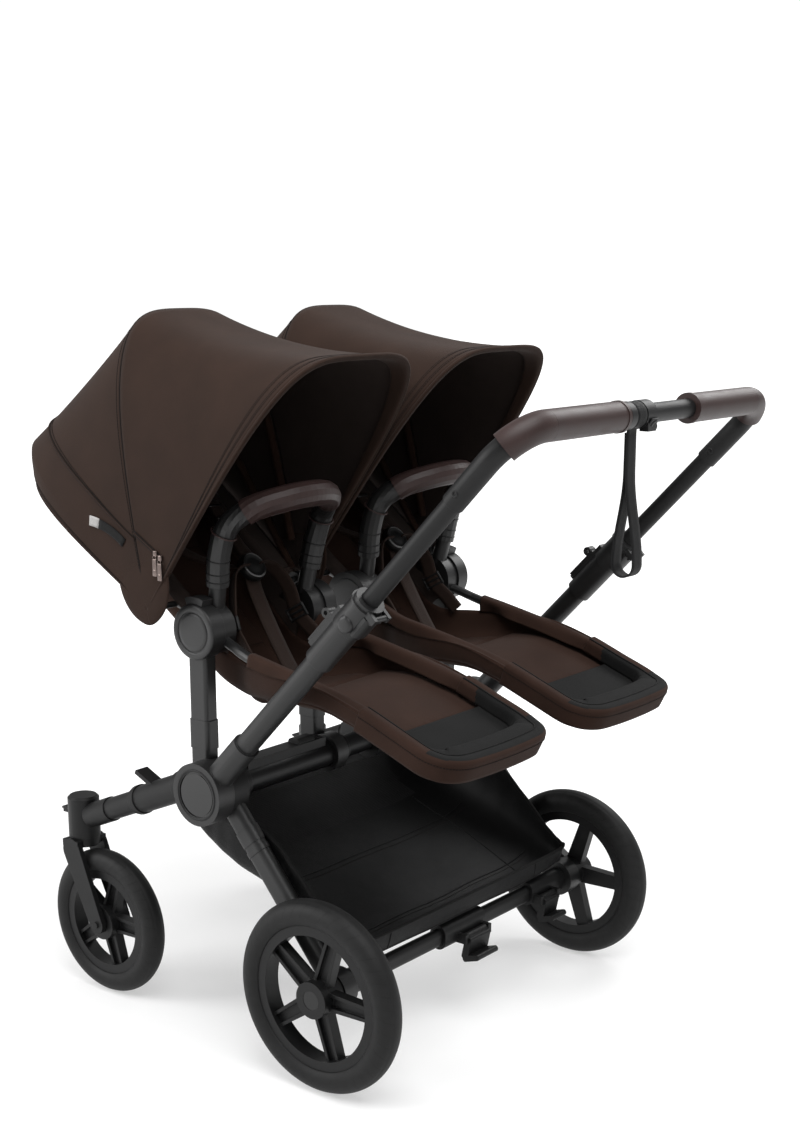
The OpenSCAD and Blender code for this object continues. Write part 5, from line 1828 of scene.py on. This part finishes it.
            def wing(u: float, v: float) -> Vector:
                """A place on the wing, from the sling's edge outwards.

                Args:
                    u: Share of its length.
                    v: Share of its width.

                Returns:
                    The place.
                """
                row = between(self.line, low + (high - low) * u)
                foot = Vector(self.spot(row, row[2] - 2.0, 0.76 * row[3]))
                along = (foot - start).dot(back)
                rail = start + back * along + OUT * (110.0 - 6.0 * clamp(-along / 65.0))
                reach = min(max(along, 1.0), 398.0)
                wide = 171.0 * (1.0 - (reach / 402.0) ** Canopy.square) ** (1 / Canopy.square)
                head = pivot + OUT * max(wide, rail.x + 12.0) + back * reach + face * 5.0
                end = (rail + OUT * 12.0 - face * 8.0).lerp(head, clamp((along - 4.0) / 20.0))
                near, far = rail - OUT * 9.5 + face * 3.0, rail + OUT * 9.5 + face * 4.0
                knots = (foot, near, rail + face * 10.4, far, end)
                return on_seat_at(hand, smooth_path(knots, 5)[round((v if hand < 0 else 1.0 - v) * 20)])

            cloth = cloth_sheet(44, 20, wing, self.cloth_mm, 0.0)
            both_sides(cloth, f"seat_wing_{tag}", DARK_ON_SEAT, LINING_CLOTH)

    def head_panel(self) -> None:
        """Cloth panel from the sling's top edge back to the hood's hem."""
        low, high = np.array(self.head_low, float), np.array(self.head_high, float)

        def panel(u: float, v: float) -> Vector:
            """A place on the panel, from the sling to the hood.

            Args:
                u: Share of the way.
                v: Share of its width.

            Returns:
                The place.
            """
            across = 2.0 * v - 1.0
            first, last = between(low, abs(across)), between(high, abs(across))
            x, y, z = first + (last - first) * u
            fall = 7.0 * hump(u) * (1 - across * across)
            return on_seat_at(math.copysign(1.0, across), (x, y, z - fall))

        cloth = cloth_sheet(14, 64, panel, self.cloth_mm, 0.0)
        both_sides(cloth, "seat_head_panel", BROWN_ON_SEAT, SEAT_CLOTH)

    def build(self) -> None:
        """Builds both seats' soft pieces."""
        self.shell()
        self.rail_covers()
        self.wings()
        self.head_panel()
        self.liner()
        self.leg_rest()
        self.rim()


@dataclass
class Harness:
    """Five point harness of one seat.

    Attributes:
        width: Width of the shoulder and waist straps.
        wide: Width of the crotch strap.
        shoulder: Shoulder strap's line: offset, place and height.
        waist: Waist strap's line.
        crotch: Crotch strap's line.
        buckle: Place of the buckle.
        tilt: Degrees that the buckle leans back.
    """

    width: float = 25.0
    wide: float = 31.0
    shoulder: tuple[Point, ...] = (
        (66, -530, 824), (69, -512, 846), (75, -452, 838), (76, -437, 830), (74, -417, 808), (60, -370, 775),
        (36, -318, 757), (14, -288, 753),
    )
    waist: tuple[Point, ...] = (
        (84, -206, 624), (80, -225, 644), (73, -252, 672), (65, -262, 712), (49, -275, 742), (31, -281, 753),
        (12, -281, 754),
    )
    crotch: tuple[Point, ...] = (
        (0, -283, 750), (0, -274, 716), (0, -242, 660), (0, -206, 606), (0, -190, 588),
    )
    buckle: Point = (0.0, -281.0, 753.0)
    tilt: float = 52.0

    def path(self, line: Sequence[Point], hand: float) -> list[Vector]:
        """Places along a strap on one side of the seat's middle."""
        return [on_seat_at(hand, p) for p in smooth_path(line, 8)]

    def across(self, line: Sequence[Point], hand: float) -> Vector:
        """Direction across a strap."""
        return Vector((STRAP_SLOPE[0] * hand, *STRAP_SLOPE[1:])) if line is self.waist else OUT

    def straps(self) -> None:
        """All the webbing."""
        for name, line, hand, width in (
            ("shoulder_strap_outer", self.shoulder, 1.0, self.width),
            ("waist_strap_outer", self.waist, 1.0, self.width),
            ("shoulder_strap_inner", self.shoulder, -1.0, self.width),
            ("waist_strap_inner", self.waist, -1.0, self.width),
            ("crotch_strap", self.crotch, 1.0, self.wide),
        ):
            size = (width * MM, float(runs([Vector(p) for p in line])[-1]) * MM)

            def declare(piece: Object, side: Side) -> None:
                """Args:
                    piece: The piece.
                    side: Its side.
                """
                if name == "shoulder_strap_outer":
                    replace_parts(piece, side.node("harness"))

            web = ribbon(self.path(line, hand), [self.across(line, hand)], width, 2.4)
            both_sides(web, name, fixed("SIDE_seat", "dark_fabric", declare), WEB_BROWN)

    def on_strap(self, line: Sequence[Point], step: int, hand: float) -> Matrix:
        """A place on a strap, with axes across, along and off it.

        Args:
            line: The strap's middle line.
            step: Step along its smooth path.
            hand: 1 or -1 for the two sides of the seat's middle.

        Returns:
            The place and turn of a piece that lies flat there.
        """
        path, side = self.path(line, hand), self.across(line, hand)
        ahead = (path[step + 1] - path[step - 1]).normalized()
        across = (side - ahead * side.dot(ahead)).normalized()
        turn = Matrix((across, ahead, across.cross(ahead))).transposed().to_4x4()
        return Matrix.Translation(path[step]) @ turn

    def hardware(self) -> None:
        """The round buckle, the ladder adjusters and the strap keepers."""
        axis = lean(90.0 - self.tilt)
        centre = on_seat_at(1.0, self.buckle) - axis * 0.008
        body = (
            (0, 0), (0, 21), (2, 24), (11, 24), (14, 22.5), (16, 19), (14.6, 17.5), (14.4, 12), (15.4, 8),
            (15.6, 0),
        )
        ring = ((13.6, 23.3), (15.2, 22.8), (16.4, 20.6), (15.6, 19.6), (14.2, 20.2), (13.6, 23.3))
        both_sides(lathe(body, centre, axis, 56), "harness_buckle", DARK_ON_SEAT, SATIN_BLACK)
        both_sides(lathe(ring, centre, axis, 56), "buckle_ring", DARK_ON_SEAT, DULL_STEEL)
        side = self.width / 2 + 3
        for hand, tag in HANDS:
            for name, home, finish, parts in (
                ("keepers", self.on_strap(self.shoulder, 24, hand), DULL_STEEL, [
                    ((self.width + 3, 4.4, 4.6), (0, k, 0), 1.5) for k in (0.0, 27.0)
                ]),
                ("adjuster", self.on_strap(self.waist, 16, hand), SATIN_BLACK, [
                    *(((self.width + 8, 4.0, 5.0), (0, k, 0.6), 1.4) for k in (-9.0, 0.0, 9.0)),
                    *(((4.0, 24.0, 5.4), (k, 0, 0.6), 1.6) for k in (-side, side)),
                ]),
            ):
                bars = [block(size, home @ Matrix.Translation(Vector(off) * MM), r) for size, off, r in parts]
                both_sides(joined(bars, finish), f"strap_{name}_{tag}", DARK_ON_SEAT)

    def build(self) -> None:
        """Builds both harnesses."""
        self.straps()
        self.hardware()


@dataclass
class Basket:
    """Shopping basket slung under the seats.

    Attributes:
        cloth_mm: Thickness of the nylon.
        seam_mm: Radius of a seam.
        square: Squareness of its section.
        cols: Steps across it.
        rows: Place, lowest height, half width and wall height along the basket.
    """

    cloth_mm: float = 1.4
    seam_mm: float = 1.3
    square: float = 6.0
    cols: int = 84
    rows: tuple[Point, ...] = (
        (-378, 372, 262, 6), (-350, 334, 272, 44), (-300, 300, 284, 78), (-235, 270, 295.6, 122),
        (-156, 244, 295.6, 148), (-80, 214, 295.6, 108), (-25, 190, 295.6, 70), (8, 183, 293.6, 50),
        (15, 192, 291, 38), (19, 214, 287, 12),
    )

    def __post_init__(self) -> None:
        """Draws the basket's lines."""
        self.line = smooth_path(self.rows, 8)
        self.turns = even_turns(self.cols, 290.0, 90.0, self.square)
        self.carry = fixed("chassis", "nylon_black")

    def place(self, u: float, v: float, lift: float = 0.0) -> Vector:
        """A place on the basket's outer side.

        Args:
            u: Share of its length, from its front to its rear edge.
            v: Share of its width, from right to left.
            lift: Distance above the cloth.

        Returns:
            The place.
        """
        y, low, half, high = between(self.line, u)
        turn = between(self.turns, v)
        x, r = arch(180.0 - turn, half, high, self.square)
        deep = math.sin(math.radians(turn)) ** 2
        fall = 9.0 * math.sin(math.pi * u) ** 2 * deep
        wall = (1 - r / max(high, 1e-6)) * min(high / 100.0, 1.0)
        fold = 2.2 * wall * math.sin(u * 41.0 + 1.3 * math.sin(v * 9.0)) + 1.6 * wall * math.sin(u * 67.0)
        dimple = 1.6 * deep * math.sin(math.pi * u) * math.sin(v * 21.0 + u * 6.0) * math.sin(u * 17.0)
        return at(x - math.copysign(abs(fold), x) * 0.9, y, low + high - r - fall + dimple + lift)

    def cloth(self) -> None:
        """The nylon bag with its net front panel."""
        bag = cloth_sheet(len(self.line) - 1, self.cols, self.place, self.cloth_mm)
        single(bag, "basket_bag", self.carry, NYLON, NET)
        for face in bag.data.polygons:
            if -352.0 < face.center.y / MM - AXLE_Y < -262.0 and abs(face.center.x) < 0.215:
                face.material_index = 1
        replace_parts(bag, "basket")

    def trim(self) -> None:
        """Hems, floor seams and their stitches."""
        sides = [(k / 60, 0.0) for k in range(61)] + [(1.0, k / 80) for k in range(1, 80)]
        hem = [self.place(u, v, 0.4) for u, v in sides + [(1 - u, 1 - v) for u, v in sides]]
        single(cord(hem, 3.0, closed=True), "basket_hem", self.carry, PIPING)

        def floor_line(u: float, lift: float) -> list[Vector]:
            """Places across the floor, above its cloth."""
            return [self.place(u, 0.12 + 0.76 * k / 90, self.cloth_mm + lift) for k in range(91)]

        for name, u in (("floor_seam_front", 0.4), ("floor_seam_middle", 0.62), ("floor_seam_rear", 0.82)):
            single(cord(floor_line(u, 0.0), self.seam_mm, 2), name, self.carry, NYLON)
            near = floor_line(u + 0.014, 0.2)
            single(stitches(near, [UP] * len(near), 5.0), f"{name}_stitch", self.carry)
        for name, v in (("side_seam_right", 0.2), ("side_seam_left", 0.8)):
            row = [self.place(0.3 + 0.69 * k / 70, v, self.cloth_mm) for k in range(71)]
            single(cord(row, self.seam_mm, 2), name, self.carry, NYLON)

        def band(u: float, v: float) -> Vector:
            """A place on the band inside the rear hem."""
            return self.place(0.93 + 0.06 * u, v, self.cloth_mm + 0.5)

        single(cloth_sheet(6, self.cols, band, 0.9), "rear_hem_band", self.carry, PIPING)

    def build(self) -> None:
        """Builds the basket."""
        self.cloth()
        self.trim()


@dataclass
class WristStrap:
    """The strap that hangs from the push bar.

    Attributes:
        x: Sideways place of the strap.
        width: Its width.
        drop: Length that it hangs.
        loop: Radius of its lower loop.
        neck: Length of the doubled neck.
        eye: Radius of the eye round the cuff.
        gap: Half the distance between the neck's two layers.
        twist: Degrees that the hanging loop is turned.
    """

    x: float = 63.0
    width: float = 24.0
    drop: float = 228.0
    loop: float = 19.0
    neck: float = 62.0
    eye: float = 18.5
    gap: float = 1.5
    twist: float = -2.0

    def flat(self) -> list[tuple[float, float]]:
        """The strap's line from the eye down one side of the loop and up the other.

        Returns:
            Pairs of sideways offset and height from the push bar.
        """
        low, top, bend = self.loop - self.drop, -self.eye - self.neck, self.loop - self.gap
        turns = [math.radians(264.0 - 348.0 * k / 24) for k in range(25)]
        eye = [(self.eye * math.cos(a), self.eye * math.sin(a)) for a in turns]
        neck = [(self.gap, -self.eye - self.neck * k / 8) for k in range(1, 9)]
        spread = self.loop - 2 * self.gap
        sides = [(self.gap + spread * ease(k / 10), top + (low - top) * k / 10) for k in range(11)]
        half_turn = [math.radians(-180.0 * k / 20) for k in range(1, 20)]
        end = [(bend * math.cos(a), low + bend * math.sin(a)) for a in half_turn]
        back = [(-a, b) for a, b in reversed(sides[1:])]
        up = [(-self.gap, top + self.neck * 0.92 * k / 8) for k in range(9)]
        return eye + neck + sides[1:] + end + back + up

    def build(self) -> None:
        """Builds the strap."""
        places, sides = [], []
        for a, b in self.flat():
            turn = math.radians(self.twist) * clamp((-b - self.eye - 6.0) / 70.0)
            middle = at(self.x, PUSH_BAR[0], PUSH_BAR[1] + b)
            places.append(middle + Vector((-math.sin(turn), math.cos(turn), 0.0)) * a * MM)
            sides.append(Vector((math.cos(turn), math.sin(turn), 0.0)))
        length = float(runs(places)[-1])
        strap = ribbon(places, sides, self.width, 1.9)
        single(strap, "wrist_strap_web", fixed("strap", "nylon_black"), WEB_BLACK)
        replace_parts(strap, "wrist_strap")
        LOG.info("wrist strap, %.0f mm", length / MM)


def main() -> None:
    """Builds the stroller's looks piece by piece."""
    logging.basicConfig(level=logging.INFO, format="%(name)s: %(message)s")
    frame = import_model()
    for assembly in (
        Studio(), Chassis(frame["nodes"]), Fittings(), WristStrap(), Tyre(152.0, 44.0, 348.0, 0.0, "rear"),
        Tyre(126.5, 40.0, 296.0, -527.0, "front"), Basket(), Canopy(), Seat(), Harness(),
    ):
        assembly.build()


if __name__ == "__main__":
    main()
